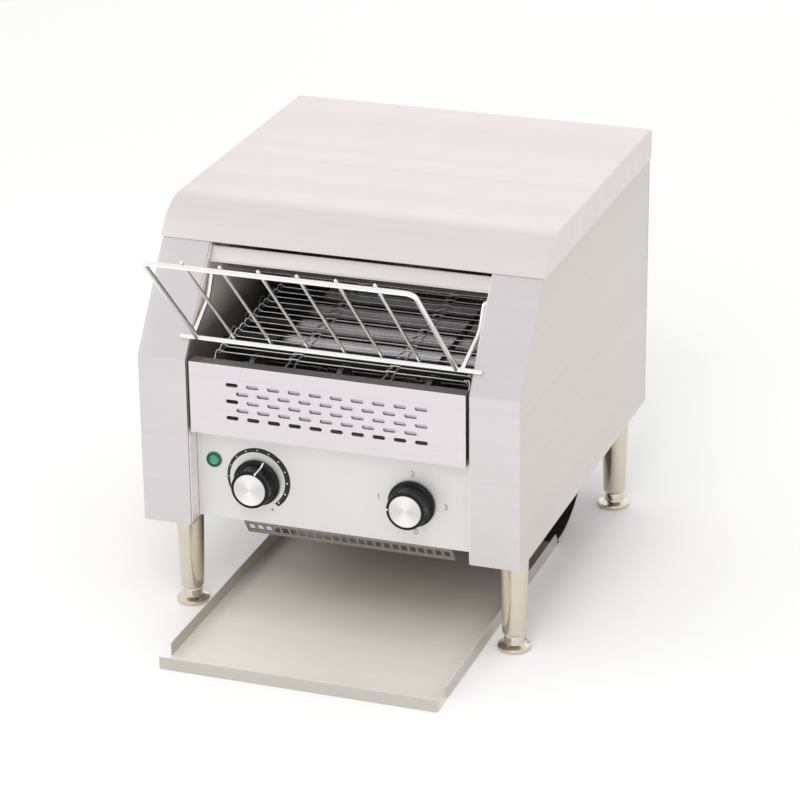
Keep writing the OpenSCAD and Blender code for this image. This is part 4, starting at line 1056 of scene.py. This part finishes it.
@dataclass
class Knob:
    """A glossy knob with a bell-shaped skirt, soft grips and a spun cap."""

    name: str
    x: float
    pointer_deg: float
    z: float = 151.0
    base_y: float = 16.5
    length: float = 20.5
    skirt_r: float = 22.5
    barrel_r: float = 17.5
    cap_r: float = 15.5
    lobes: int = 20
    pointer_half: float = 0.75
    pointer_lift: float = 0.14

    def outline(self) -> Array:
        """The knob's profile: a skirt, a hollow bell curve and a slightly tapering barrel.

        Returns:
            Radius and height in turn, from the underside to the cap's seat.
        """
        bell = np.linspace(0, 1, 9)
        fall = (self.skirt_r - 1.2 - self.barrel_r - 0.9) * (1 - np.sin(bell * np.pi / 2))
        flare = np.stack([self.barrel_r + 0.9 + fall, 3.2 + 6.0 * bell**1.6], -1)
        edges = [[0.0, 6.0], [6.0, 6.0], [6.0, 0.3], [self.skirt_r - 0.5, 0.0], [self.skirt_r, 0.6]]
        rim = [[self.skirt_r, 2.2], [self.skirt_r - 0.5, 2.8]]
        barrel = [[self.barrel_r + 0.8, 10.0], [self.barrel_r + 0.5, self.length - 4.5]]
        brow = [
            [self.barrel_r + 0.8, self.length - 2.4],
            [self.barrel_r + 0.65, self.length - 1.5],
            [self.barrel_r + 0.2, self.length - 0.95],
            [self.cap_r + 0.9, self.length - 0.85],
            [self.cap_r + 0.35, self.length - 1.05],
            [self.cap_r + 0.25, self.length - 1.9],
            [0.0, self.length - 1.9],
        ]
        return np.concatenate([edges, rim, flare, barrel, brow])

    def grips(self, angle: Array, height: Array) -> Array:
        """Soft flutes on the barrel, as deep as a raised cosine.

        Args:
            angle: round the knob.
            height: along it.
        Returns:
            What is added to the radius.
        """
        start = np.clip((height - 9.5) / 2, 0, 1)
        band = start * np.clip((self.length - 2.6 - height) / 1.5, 0, 1)
        return -0.34 * band * (0.5 + 0.5 * np.cos(angle * self.lobes))

    def pointer(self) -> Shape:
        """The white line from the cap to the skirt's rim: a strip on the knob's own profile.

        Returns:
            The closed strip.
        """
        line = self.outline()
        run = line[(line[:, 0] > self.cap_r + 0.8) & (line[:, 1] > 2.0)]
        sides = []
        for offset in (-self.pointer_half, self.pointer_half):
            for raised in (-0.35, 1.0):
                radius = run[:, 0] + self.pointer_lift * raised
                turn = math.radians(self.pointer_deg) + offset / np.maximum(run[:, 0], 1)
                x = self.x + radius * np.sin(turn)
                z = self.z + radius * np.cos(turn)
                y = self.base_y - run[:, 1] - 0.08 * raised
                sides.append(np.column_stack([x, y, z]))
        ring = np.stack([sides[0], sides[1], sides[3], sides[2]], axis=1)
        return closed_rings(ring)

    def build(self) -> None:
        """Makes the knob, its pointer and its cap."""
        seat = (self.x, self.base_y, self.z)
        body = turned(self.outline(), seat, (0, -1, 0), 144, self.grips)
        ride = f"{self.name.split('_')[0]}_control"
        Place.put(f"{self.name}_grip", body, KNOB, ride, "knob_black", [self.name])
        Place.put(f"{self.name}_pointer", self.pointer(), PAPER_INK, ride, "knob_black")
        top = self.length
        dome = [
            [0.0, top - 1.85],
            [self.cap_r, top - 1.85],
            [self.cap_r, top - 1.2],
            [self.cap_r - 0.25, top - 0.85],
            [self.cap_r - 0.8, top - 0.72],
            [self.cap_r - 1.6, top - 0.85],
            [self.cap_r * 0.5, top - 1.0],
            [0.0, top - 1.02],
        ]
        finish = SpunCap(
            f"{self.name}_spun", (0.76, 0.75, 0.75), tuple(Place.metres([self.x, 0.0, self.z]))
        )
        disc = turned(dome, seat, (0, -1, 0), 96)
        Place.put(f"{self.name}_disc", disc, finish, ride, "knob_cap", [self.name + "_cap"])


@dataclass
class ControlFace:
    """What is printed on the control panel, and the pilot lamp."""

    face_y: float = 17.5
    outer: tuple[float, float, float] = (-74.16, 153.8, 31.2)
    inner: tuple[float, float, float] = (-75.41, 153.35, 27.25)
    dots_on: tuple[float, float, float] = (-75.0, 153.7, 28.9)
    plus: tuple[float, float] = (-61.6, 124.9)
    lamp: tuple[float, float] = (-118.0, 168.0)
    lift: float = 0.06

    def ink(self, rings: Array) -> Shape:
        """A print as a thin solid. Args: rings, two rows of x and z. Returns: the closed solid."""
        front = self.face_y - self.lift
        rows = len(rings[0])
        back = self.face_y + 0.05
        layers = []
        for band, y in zip((rings[0], rings[1], rings[1], rings[0]), (front, front, back, back)):
            layers.append(np.column_stack([band[:, 0], np.full(rows, y), band[:, 1]]))
        return closed_rings(np.stack(layers, axis=1))

    @staticmethod
    def round_at(circle: tuple[float, float, float], turn: Array) -> Array:
        """Points of a circle. Args: its x, z, radius, and angles from up. Returns: x and z rows."""
        x, z, radius = circle
        return np.stack([x + radius * np.sin(turn), z + radius * np.cos(turn)], -1)

    def scale_band(self) -> Shape:
        """The speed scale: the area between two circles that aren't quite concentric.

        The angle runs clockwise from the lower left, where the band starts as a hair, to the
        lower right, where it ends square. The start's width grows with the sine of its way.

        Returns:
            The closed print.
        """
        turn = np.radians(np.linspace(-122, 143, 120))
        outer = self.round_at(self.outer, turn)
        inner = self.round_at(self.inner, turn)
        way = np.clip((turn - turn[0]) / math.radians(34), 0, 1)
        grow = 0.45 + 0.55 * np.sin(way * math.pi / 2)
        return self.ink(np.stack([outer, outer + (inner - outer) * grow[:, None]]))

    def disc(self, x: float, z: float, radius: float, lift: float) -> Shape:
        """A printed dot. Args: its centre, radius and lift. Returns: the closed dot."""
        profile = [[0.0, -0.05], [radius, -0.05], [radius, lift], [0.0, lift]]
        return turned(profile, (x, self.face_y, z), (0, -1, 0), 20)

    def dots(self) -> Shape:
        """White dots along the scale, a little larger towards its end. Returns: all of them."""
        turn = np.radians(-91 + 22.74 * np.arange(11))
        size = np.linspace(0.5, 0.8, 11)
        places = self.round_at(self.dots_on, turn)
        return joined([self.disc(x, z, r, self.lift + 0.05) for (x, z), r in zip(places, size)])

    def stroke(self, points: Sequence[Sequence[float]], width: float) -> Shape:
        """A pen stroke: a flat band along a path of x and z.

        Args:
            points: the path.
            width: of the pen.
        Returns:
            The closed print.
        """
        path = np.asarray(points, float)
        along = unit(np.gradient(path, axis=0))
        side = np.stack([-along[:, 1], along[:, 0]], -1) * width / 2
        path = path.copy()
        path[0] -= along[0] * width / 2
        path[-1] += along[-1] * width / 2
        return self.ink(np.stack([path + side, path - side]))

    def figures(self) -> Shape:
        """Plain marks: a plus at the scale's end, and figures 0 to 3 round the selector.

        Each figure is drawn with pen strokes in a box of width one and height one and a half.

        Returns:
            All marks as one shape.
        """
        turn = np.linspace(0, 2 * np.pi, 29)
        oval = np.stack([0.5 + 0.42 * np.sin(turn), 0.75 + 0.7 * np.cos(turn)], -1)
        top = np.radians(np.linspace(-70, 118, 16))
        hook = np.stack([0.5 + 0.42 * np.sin(top), 1.05 + 0.4 * np.cos(top)], -1)
        upper = np.radians(np.linspace(-60, 175, 16))
        lower = np.radians(np.linspace(5, 240, 18))
        glyphs: dict[int, list[Array]] = {
            0: [oval],
            1: [np.array([[0.3, 1.2], [0.55, 1.45], [0.55, 0.0]])],
            2: [np.concatenate([hook, [[0.1, 0.02], [0.92, 0.02]]])],
            3: [
                np.stack([0.48 + 0.36 * np.sin(upper), 1.10 + 0.33 * np.cos(upper)], -1),
                np.stack([0.48 + 0.42 * np.sin(lower), 0.38 + 0.38 * np.cos(lower)], -1),
            ],
        }
        size = 3.6
        places = {1: (43.0, 153.5), 2: (76.0, 180.0), 3: (107.5, 151.5), 0: (79.0, 123.0)}
        marks: list[Shape] = []
        for figure, (x, z) in places.items():
            corner = np.array([x - size / 2, z - size * 0.75])
            marks += [self.stroke(corner + size * line, 0.6) for line in glyphs[figure]]
        px, pz = self.plus
        marks.append(self.stroke([[px - 1.3, pz], [px, pz], [px + 1.3, pz]], 0.6))
        marks.append(self.stroke([[px, pz - 1.3], [px, pz], [px, pz + 1.3]], 0.6))
        return joined(marks)

    def build(self) -> None:
        """Makes the prints, the lamp's bezel and its lens."""
        Place.put("scale_band", self.scale_band(), INK, "housing", "control_panel")
        Place.put("scale_dots", self.dots(), PAPER_INK, "housing", "control_panel")
        Place.put("dial_marks", self.figures(), GREY_INK, "housing", "control_panel")
        x, z = self.lamp
        seat = (x, self.face_y, z)
        bezel = [
            [0.0, -14.4], [5.5, -14.4], [5.5, -0.02], [7.5, -0.02], [7.5, 1.2],
            [7.2, 1.8], [6.6, 2.0], [5.9, 1.9], [5.5, 1.4], [5.2, 0.4], [0.0, 0.2],
        ]
        ring = turned(bezel, seat, (0, -1, 0), 72)
        Place.put("lamp_ring", ring, BEZEL, "housing", "lamp_bezel", ["pilot_lamp"])
        lens = [[0.0, 0.2], [5.0, 0.2], [5.1, 1.0], [4.7, 1.7], [3.4, 2.3], [1.8, 2.6], [0.0, 2.7]]
        dome = turned(lens, seat, (0, -1, 0), 72)
        Place.put("lamp_dome", dome, LENS, "housing", "lamp_lens", ["pilot_lens"])
        Knob("speed_knob", -75.5, 19.5).build()
        Knob("selector_knob", 75.5, -90.0).build()


# ---- belt and heaters -----------------------------------------------------------------------


@dataclass
class ConveyorBelt:
    """The endless belt of bent wires, each hooked over the one before it."""

    pitch: float = 12.0
    teeth: int = 10
    run: int = 23
    half: float = 124.0
    column_x: float = 47.0
    wire_r: float = 0.8
    rise_deg: float = 2.7
    front: tuple[float, float] = (46.0, 245.1)
    rise: float = 1.85
    hook: tuple[tuple[float, float, float], ...] = (
        (1.0, 0.3, 1.1), (2.0, 0.7, 2.6), (3.1, 1.4, 3.3), (4.2, 2.3, 3.0), (5.0, 3.5, 1.7),
        (5.3, 4.9, -0.1), (5.2, 7.0, -1.5), (4.9, 9.4, -2.1), (4.2, 11.6, -2.1), (3.0, 13.0, -1.6),
        (1.7, 13.7, -0.6), (0.5, 13.8, 0.8), (-0.7, 13.2, 1.8),
    )

    @property
    def wrap_r(self) -> float:
        """Radius at which the wires lie on a sprocket. Returns: millimetres."""
        return self.pitch / (2 * math.sin(math.pi / self.teeth))

    @property
    def rear(self) -> Array:
        """The rear axis. Returns: y and z."""
        turn = math.radians(self.rise_deg)
        along = np.array([math.cos(turn), math.sin(turn)])
        return np.array(self.front) + self.run * self.pitch * along

    def spots(self) -> Array:
        """Places of the wires in turn: upper run, rear wrap, lower run and front wrap.

        Returns:
            Rows of y and z.
        """
        turn = math.radians(self.rise_deg)
        along = np.array([math.cos(turn), math.sin(turn)])
        up = np.array([-math.sin(turn), math.cos(turn)])
        front, rear = np.array(self.front), self.rear
        steps = np.arange(self.run + 1)[:, None] * self.pitch
        tooth = 2 * math.pi / self.teeth
        part = np.arange(1, self.teeth // 2)
        rear_a = math.pi / 2 - part * tooth + turn
        front_a = -math.pi / 2 - part * tooth + turn
        upper = front + up * self.wrap_r + along * steps
        lower = rear - up * self.wrap_r - along * steps
        behind = rear + self.wrap_r * np.stack([np.cos(rear_a), np.sin(rear_a)], -1)
        ahead = front + self.wrap_r * np.stack([np.cos(front_a), np.sin(front_a)], -1)
        return np.concatenate([upper, behind, lower, ahead])

    def strand(self) -> Array:
        """One wire's path: across, back over its neighbour, and how far it lifts there.

        The wire steps back at both link columns. At each edge it arches up into an eye, runs
        on below its neighbour and hooks up round it. Between, the lift grows as a smooth step
        of the reach.

        Returns:
            Rows of x, reach and lift.
        """
        reach = self.pitch + self.wire_r * 2.3
        centre: list[list[float]] = []
        for x in (-self.column_x, self.column_x):
            centre += [[x - 2.6, 0], [x - 4.7, reach], [x + 4.7, reach], [x + 2.6, 0]]
        inner = self.half - self.wire_r - 5.3
        corners = [[-inner, 0]] + centre + [[inner, 0]]
        path = rounded_path([[x, y, 0.0] for x, y in corners], [1.2] * (len(corners) - 2), 4)
        dense: list[Array] = [path[:1]]
        for a, b in zip(path[:-1], path[1:]):
            long = float(np.linalg.norm(b - a))
            count = 4 if long > 6 and abs(b[1] - a[1]) > 4 else 1
            dense.append(np.linspace(a, b, count + 1)[1:])
        line = np.concatenate(dense)
        share = np.clip((line[:, 1] - 2.5) / 8.0, 0, 1)
        line[:, 2] = self.rise * share**2 * (3 - 2 * share)
        hook = np.array(self.hook)
        right = line[-1] + hook
        left = (line[0] + hook * (-1, 1, 1))[::-1]
        return np.concatenate([left, line, right])

    def belt(self) -> Shape:
        """All wires: the one path placed at every spot, leaning back over the wire before.

        Returns:
            The belt as one shape.
        """
        spots = self.spots()
        back = np.roll(spots, 1, axis=0) - spots
        angle = np.arctan2(back[:, 1], back[:, 0])
        along = np.stack([np.cos(angle), np.sin(angle)], -1)
        out = np.stack([np.sin(angle), -np.cos(angle)], -1)
        path = self.strand()
        reach, lift = path[None, :, 1:2], path[None, :, 2:3]
        flat = spots[:, None] + along[:, None] * reach + out[:, None] * lift
        x = np.broadcast_to(path[None, :, :1], (*flat.shape[:2], 1))
        paths = np.concatenate([x, flat], axis=-1)
        leaning = np.concatenate([np.zeros((len(spots), 1)), out], axis=1)
        return joined([wire(p, self.wire_r, n, 7) for p, n in zip(paths, leaning)])

    def build(self) -> None:
        """Makes the belt, and softens what carries it."""
        Place.put("belt_wires", self.belt(), BELT, "housing", "belt_wire", ["conveyor_belt"], 60)
        Place.dress(
            [
                ("belt_rails", RAIL_PAINTED_SHADE, "housing", "belt_wire", 0.15),
                ("drive_sprockets", SPROCKET, "drive", "sprocket_steel", 0.2),
                ("idler_sprockets", SPROCKET, "idler", "sprocket_steel", 0.2),
                ("drive_shaft", SHAFT, "drive", "shaft_steel", 0.4),
                ("idler_shaft", SHAFT, "idler", "shaft_steel", 0.4),
                ("shaft_bushes", BRONZE, "housing", "bronze", 0.3),
            ]
        )


@dataclass
class Heaters:
    """Quartz tubes with coiled filaments, in ceramic caps."""

    end: float = 141.0
    tube_r: float = 6.0
    lower_y: tuple[float, ...] = (113.0, 150.0, 187.0, 224.0)
    upper_y: tuple[float, ...] = (133.0, 188.0, 243.0)
    upper_z: float = 329.1
    rise_deg: float = 2.7
    drop: float = 13.1
    turns: int = 64
    coil_r: float = 3.1

    def lower_z(self, y: float) -> float:
        """Height of a lower tube's axis. Args: y. Returns: z."""
        belt = ConveyorBelt()
        slope = math.radians(self.rise_deg)
        axis = belt.front[1] + (y - belt.front[0]) * math.tan(slope)
        return axis + (belt.wrap_r - self.drop) / math.cos(slope)

    def axes(self, upper: bool) -> list[tuple[float, float]]:
        """The tubes' axes. Args: upper, which bank. Returns: y and z of each."""
        if upper:
            return [(y, self.upper_z) for y in self.upper_y]
        return [(y, self.lower_z(y)) for y in self.lower_y]

    def tube(self, y: float, z: float) -> Shape:
        """A thin-walled tube with fire-polished rims. Args: its axis. Returns: the closed tube."""
        end, r, sides = self.end, self.tube_r, 36
        near = [[r - 1, -end], [r - 0.3, -end], [r, -end + 0.4]]
        far = [[r, end - 0.4], [r - 0.3, end], [r - 1, end]]
        line = np.array(near + far + [[r - 1, end - 1], [r - 1, -end + 1]])
        angle = np.arange(sides) * 2 * np.pi / sides
        grid = np.stack(
            [
                np.broadcast_to(line[:, 1:], (len(line), sides)),
                y + line[:, :1] * np.cos(angle),
                z + line[:, :1] * np.sin(angle),
            ],
            axis=-1,
        )
        return surface(np.concatenate([grid, grid[:1]]), wrap=True).outward()

    def coil(self, y: float, z: float) -> Shape:
        """A filament: a helix whose angle grows with its way along x, with straight tails.

        Args:
            y: of the axis.
            z: of the axis.
        Returns:
            The closed wire.
        """
        share = np.linspace(0, 1, self.turns * 12 + 1)
        angle = share * self.turns * 2 * np.pi
        near = self.end - 14
        grow = np.clip(np.minimum(share, 1 - share) * self.turns, 0, 1)
        path = np.stack(
            [
                -near + 2 * near * share,
                y + self.coil_r * grow * np.cos(angle),
                z + self.coil_r * grow * np.sin(angle),
            ],
            -1,
        )
        tail = np.array([[6.0, 0, 0], [3.0, 0, 0]])
        path = np.concatenate([path[:1] - tail, path, path[-1:] + tail[::-1]])
        radial = np.stack([np.ones(len(path)), np.zeros(len(path)), np.zeros(len(path))], -1)
        along = unit(np.gradient(path, axis=0))
        steep = np.abs(along[:, :1]) > 0.9
        across = np.where(steep, np.array([0.0, 0.3, 1.0]), radial)
        return wire(path, 0.45, across, 5, Ends.FLAT)

    def build(self) -> None:
        """Makes both banks of tubes, their coils, and dresses the caps and reflectors."""
        for bank, upper in (("lower", False), ("upper", True)):
            tubes = joined([self.tube(y, z) for y, z in self.axes(upper)])
            node = f"{bank}_heater_tubes"
            Place.put(f"quartz_{bank}", tubes, QUARTZ, "housing", "quartz", [node])
        both = self.axes(False) + self.axes(True)
        coils = joined([self.coil(y, z) for y, z in both])
        Place.put("filament_coils", coils, FILAMENT, "housing", "filament", ["heater_cores"], 60)
        Place.softened("heater_caps", CERAMIC, "housing", "ceramic", 0.5)
        Place.softened("lower_reflector", LOWER_REFLECTOR_SHADE, "housing", "reflector", 0.2)
        Place.softened("upper_reflector", REFLECTOR, "housing", "reflector", 0.2)


@dataclass
class LoadingRack:
    """The hinged wire basket on which bread is laid."""

    frame_r: float = 2.3
    thin_r: float = 1.5
    length: float = 157.0
    width: float = 248.0
    offset: float = -3.4
    rod_y: float = 10.8395
    rod_z: float = 290.3
    rod_half: float = 145.0
    stay_x: float = 131.1
    wires: int = 6

    def build(self) -> None:
        """Makes the rod, the frame, the cross wires and the stays as one welded piece."""
        lean = math.sqrt(0.5)
        out = np.array([0, -lean, lean])
        lift = np.array([0, lean, lean]) * (self.frame_r + self.thin_r - 0.3)
        rod = np.array([0, self.rod_y, self.rod_z])
        top = rod + out * self.length
        left = np.array([self.offset - self.width / 2, 0, 0])
        right = np.array([self.offset + self.width / 2, 0, 0])
        side = np.array([0.0, lean, lean])
        reach = np.array([self.rod_half - self.frame_r, 0, 0])
        across = np.array([0.0, 0.6, 0.8])
        parts = [wire(np.linspace(rod - reach, rod + reach, 5), self.frame_r + 0.12, across, 20)]
        frame = rounded_path([rod + left, top + left, top + right, rod + right], [5.0, 8.0], 10)
        parts.append(wire(frame, self.frame_r, side, 20, Ends.FLAT))
        gap = self.width / (self.wires + 1)
        for k in range(1, self.wires + 1):
            start = rod + left + (k * gap, 0, 0) + lift - out * 0.6
            stop = top + left + (k * gap, 0, 0) + lift + out * 2.2
            parts.append(wire(np.linspace(start, stop, 7), self.thin_r, side, 14))
        knee = np.array([0, self.rod_y + 36, self.rod_z + 25])
        pivot = np.array([0, 58.0, 337.5])
        for sign, end in ((-1, left), (1, right)):
            beside = np.array([sign * (2 * self.frame_r + 0.2), 0, 0])
            outward = np.array([sign, 0, 0], float)
            path = rounded_path(
                [
                    rod + end + beside,
                    knee + outward * self.stay_x,
                    pivot + outward * self.stay_x,
                    pivot + outward * 137.0,
                ],
                [30.0, 3.4],
                10,
            )
            frame_vector = np.cross(pivot - knee, outward)
            parts.append(wire(path, self.frame_r, frame_vector, 18, Ends.ROUND))
        Place.put("rack_wires", joined(parts), RACK, "rack", "rack_chrome", ["loading_rack"], 50)


# ---- lower parts ----------------------------------------------------------------------------


@dataclass
class Underside:
    """Legs, feet, chute and tray."""

    leg_x: float = 161.0
    leg_ys: tuple[float, float] = (55.0, 390.0)
    under_z: float = 106.0
    foot_h: float = 16.0

    def leg(self) -> Shape:
        """A tapered leg with a rounded lower rim. Returns: the closed leg, about its own axis."""
        low, high = self.foot_h, self.under_z
        line = [[5.1, low], [10.2, low], [11.0, low + 0.9], [11.2, low + 2.2], [13.75, high - 1.4]]
        line += [[13.9, high - 0.8], [13.9, high - 0.02], [0.0, high - 0.02]]
        inner = [[0.0, low + 33], [5.06, low + 33]]
        return turned(soft_profile(inner + line, 0.8), (0, 0, 0), (0, 0, 1), 64)

    def foot(self) -> Shape:
        """A levelling foot: a flanged rim, a neck and its screw. Returns: the closed foot."""
        line = [
            [0.0, 0.0], [14.6, 0.0], [15.7, 0.5], [16.0, 1.3], [16.0, 3.3], [15.6, 4.0],
            [13.6, 4.9], [11.0, 5.6], [9.6, 6.4], [9.25, 7.4], [9.25, 13.6], [8.6, 15.0],
            [8.0, 15.4], [5.2, 15.4], [5.0, 15.6], [5.0, 45.4], [4.4, 46.0], [0.0, 46.0],
        ]
        return turned(line, (0, 0, 0), (0, 0, 1), 64)

    def build(self) -> None:
        """Makes the legs and feet, and dresses chute and tray."""
        leg, foot = self.leg(), self.foot()
        number = 0
        for row, y in zip(("front", "rear"), self.leg_ys):
            for side, x in (("left", -self.leg_x), ("right", self.leg_x)):
                number += 1
                where = (x, y, 0)
                end = f"{row}_{side}"
                post = leg.moved(where)
                Place.put(f"leg_post_{end}", post, NICKEL, "housing", "leg_nickel", [f"leg_{end}"])
                name, body = f"foot_turned_{end}", f"foot_{number}"
                Place.put(name, foot.moved(where), FOOT, body, "foot_steel", [f"foot_{end}"])
        Place.softened("return_chute", CHUTE, "housing", "heat_darkened_steel", 0.2)
        tray = Place.softened("tray", TRAY, "tray", "tray_steel", 0.3)
        # Painted shade: the tray's upright faces take the darker copy of its sheet.
        Place.second_finish(tray, TRAY_SIDE_SHADE, lambda normals: np.abs(normals[:, 2]) < 0.5)


class Workings:
    """The pieces inside the casing, which keep their CAD shapes with broken edges."""

    parts: tuple[tuple[str, Finish, str, str, float], ...] = (
        ("compartment_shell", INNER, "housing", "inner_steel", 0.2),
        ("compartment_floor", INNER, "housing", "inner_steel", 0.2),
        ("speed_regulator", CAN, "housing", "regulator_can", 0.4),
        ("selector_switch", NYLON, "housing", "switch_body", 0.4),
        ("speed_spindle", SHAFT, "speed_control", "shaft_steel", 0.3),
        ("selector_spindle", SHAFT, "selector_control", "shaft_steel", 0.3),
        ("gear_motor", ENAMEL, "housing", "motor_paint", 0.8),
        ("motor_shaft", SHAFT, "motor_output", "shaft_steel", 0.3),
        ("drive_chain_wheel", SPROCKET, "drive", "sprocket_steel", 0.15),
        ("motor_chain_wheel", SPROCKET, "motor_output", "sprocket_steel", 0.15),
        ("drive_chain", SPROCKET, "housing", "sprocket_steel", 0.1),
        ("fan_frame", NYLON, "housing", "fan_plastic", 0.5),
        ("fan_rotor", NYLON, "fan", "fan_plastic", 0.3),
        ("terminal_block", CREAM, "housing", "terminal_plastic", 0.4),
        ("speed_board", BOARD, "housing", "board", 0.2),
        ("cable_gland", NYLON, "housing", "gland_plastic", 0.3),
    )

    def build(self) -> None:
        """Dresses each piece."""
        Place.dress(self.parts)


# ---- studio ---------------------------------------------------------------------------------


@dataclass
class Studio:
    """A pale floor, soft light, and a camera at the photograph's angle."""

    eye: tuple[float, float, float] = (964.5, -2489.1, 1368.5)
    azimuth_deg: float = 19.744
    elevation_deg: float = 22.762
    roll_deg: float = -0.647
    focal_px: float = 3223.9
    frame_px: float = 800.0
    sensor: float = 36.0
    floor_r: float = 3000.0
    lamps: tuple[tuple[str, tuple[float, float, float], float, float, bool], ...] = (
        ("key", (-2.5, -1.1, 1.8), 1.8, 4.0, True),
        ("front", (0.7, -2.7, 1.0), 1.2, 3.0, True),
        ("over", (0.25, -1.9, 2.0), 1.0, 20.0, False),
        ("rear", (-0.35, 2.3, 1.3), 2.0, 2.8, True),
    )

    def camera(self) -> None:
        """Sets the camera from its azimuth, elevation and roll, all in the maker's frame."""
        degrees = (self.azimuth_deg, self.elevation_deg, self.roll_deg)
        az, el, roll = (math.radians(a) for a in degrees)
        back = Vector((math.sin(az) * math.cos(el), -math.cos(az) * math.cos(el), math.sin(el)))
        right = (-back).cross(Vector((0, 0, 1))).normalized()
        up = right.cross(-back)
        side = right * math.cos(roll) + up * math.sin(roll)
        top = up * math.cos(roll) - right * math.sin(roll)
        lens = bpy.data.cameras.new("camera")
        lens.sensor_width = self.sensor
        lens.lens = self.focal_px * self.sensor / self.frame_px
        lens.clip_start, lens.clip_end = 0.1, 50.0
        seat = Matrix((side, top, back)).transposed().to_4x4()
        seat.translation = Vector(Place.metres(self.eye))
        camera = bpy.data.objects.new("camera", lens)
        camera.matrix_world = seat
        bpy.context.scene.collection.objects.link(camera)
        bpy.context.scene.camera = camera

    @staticmethod
    def white_where_seen(tree: bpy.types.NodeTree, plain: Socket) -> Socket:
        """Mixes a shader with plain white for what the camera, gloss and glass see.

        Args:
            tree: the node tree.
            plain: the shader that gives light.
        Returns:
            The mixed shader's output.
        """
        path = tree.nodes.new("ShaderNodeLightPath")
        seen = path.outputs["Is Camera Ray"]
        for name in ("Is Glossy Ray", "Is Transmission Ray"):
            seen = math_node(tree, "MAXIMUM", seen, path.outputs[name])
        white = tree.nodes.new("ShaderNodeBackground")
        white.inputs["Strength"].default_value = 1.0
        white.inputs["Color"].default_value = (1, 1, 1, 1)
        mix = tree.nodes.new("ShaderNodeMixShader")
        tree.links.new(seen, mix.inputs[0])
        tree.links.new(plain, mix.inputs[1])
        tree.links.new(white.outputs[0], mix.inputs[2])
        return mix.outputs[0]

    def world(self) -> None:
        """A soft grey sky that the camera and gloss see as white."""
        sky = bpy.data.worlds.new("sky")
        sky.use_nodes = True
        tree = sky.node_tree
        plain = tree.nodes["Background"]
        plain.inputs["Color"].default_value = (1.0, 1.0, 1.0, 1)
        plain.inputs["Strength"].default_value = 0.88
        out = tree.nodes["World Output"]
        tree.links.new(self.white_where_seen(tree, plain.outputs[0]), out.inputs["Surface"])
        bpy.context.scene.world = sky

    def floor(self) -> None:
        """A wide pale disc under the machine."""
        low, top = -2.0, -0.05
        profile = [[0.0, low], [self.floor_r, low], [self.floor_r, top], [0.0, top]]
        shape = turned(profile, (0, 100, 0), (0, 0, 1), 96)
        nodes = Nodes("pale_floor")
        nodes.set(Base_Color=(0.985, 0.985, 0.98, 1))
        nodes.gloss(nodes.noise(2.0, 2.0), 0.85, 0.95)
        mesh = bpy.data.meshes.new("floor")
        faces = [list(map(int, f)) for f in shape.quads] + [list(map(int, f)) for f in shape.tris]
        mesh.from_pydata([tuple(p) for p in Place.metres(shape.points)], [], faces)
        mesh.materials.append(nodes.made)
        disc = bpy.data.objects.new("floor", mesh)
        bpy.context.scene.collection.objects.link(disc)

    @staticmethod
    def lamp(
        name: str, spot: Sequence[float], size: float, power: float, gloss: bool
    ) -> None:
        """A soft square lamp aimed at the machine.

        Args:
            name: of the lamp.
            spot: its place in metres.
            size: of its side in metres.
            power: in watts.
            gloss: False where metal doesn't mirror it.
        """
        data = bpy.data.lights.new(name, "AREA")
        data.size = size
        data.energy = power
        lamp = bpy.data.objects.new(name, data)
        lamp.location = spot
        lamp.visible_glossy = gloss
        aim = Vector((0.0, 0.05, 0.2)) - Vector(spot)
        lamp.rotation_euler = aim.to_track_quat("-Z", "Y").to_euler()
        bpy.context.scene.collection.objects.link(lamp)

    def build(self) -> None:
        """Sets up camera, world, floor and lamps."""
        scene = bpy.context.scene
        scene.view_settings.view_transform = "Standard"
        self.camera()
        self.world()
        self.floor()
        for name, spot, size, power, gloss in self.lamps:
            self.lamp(name, spot, size, power, gloss)


def main() -> None:
    """Builds the machine's looks in order."""
    logging.basicConfig(level=logging.INFO, format="%(message)s")
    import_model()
    Place.find()
    Studio().build()
    Casing().build()
    ControlFace().build()
    ConveyorBelt().build()
    Heaters().build()
    LoadingRack().build()
    Underside().build()
    Workings().build()
    bpy.context.view_layer.update()


if __name__ == "__main__":
    main()
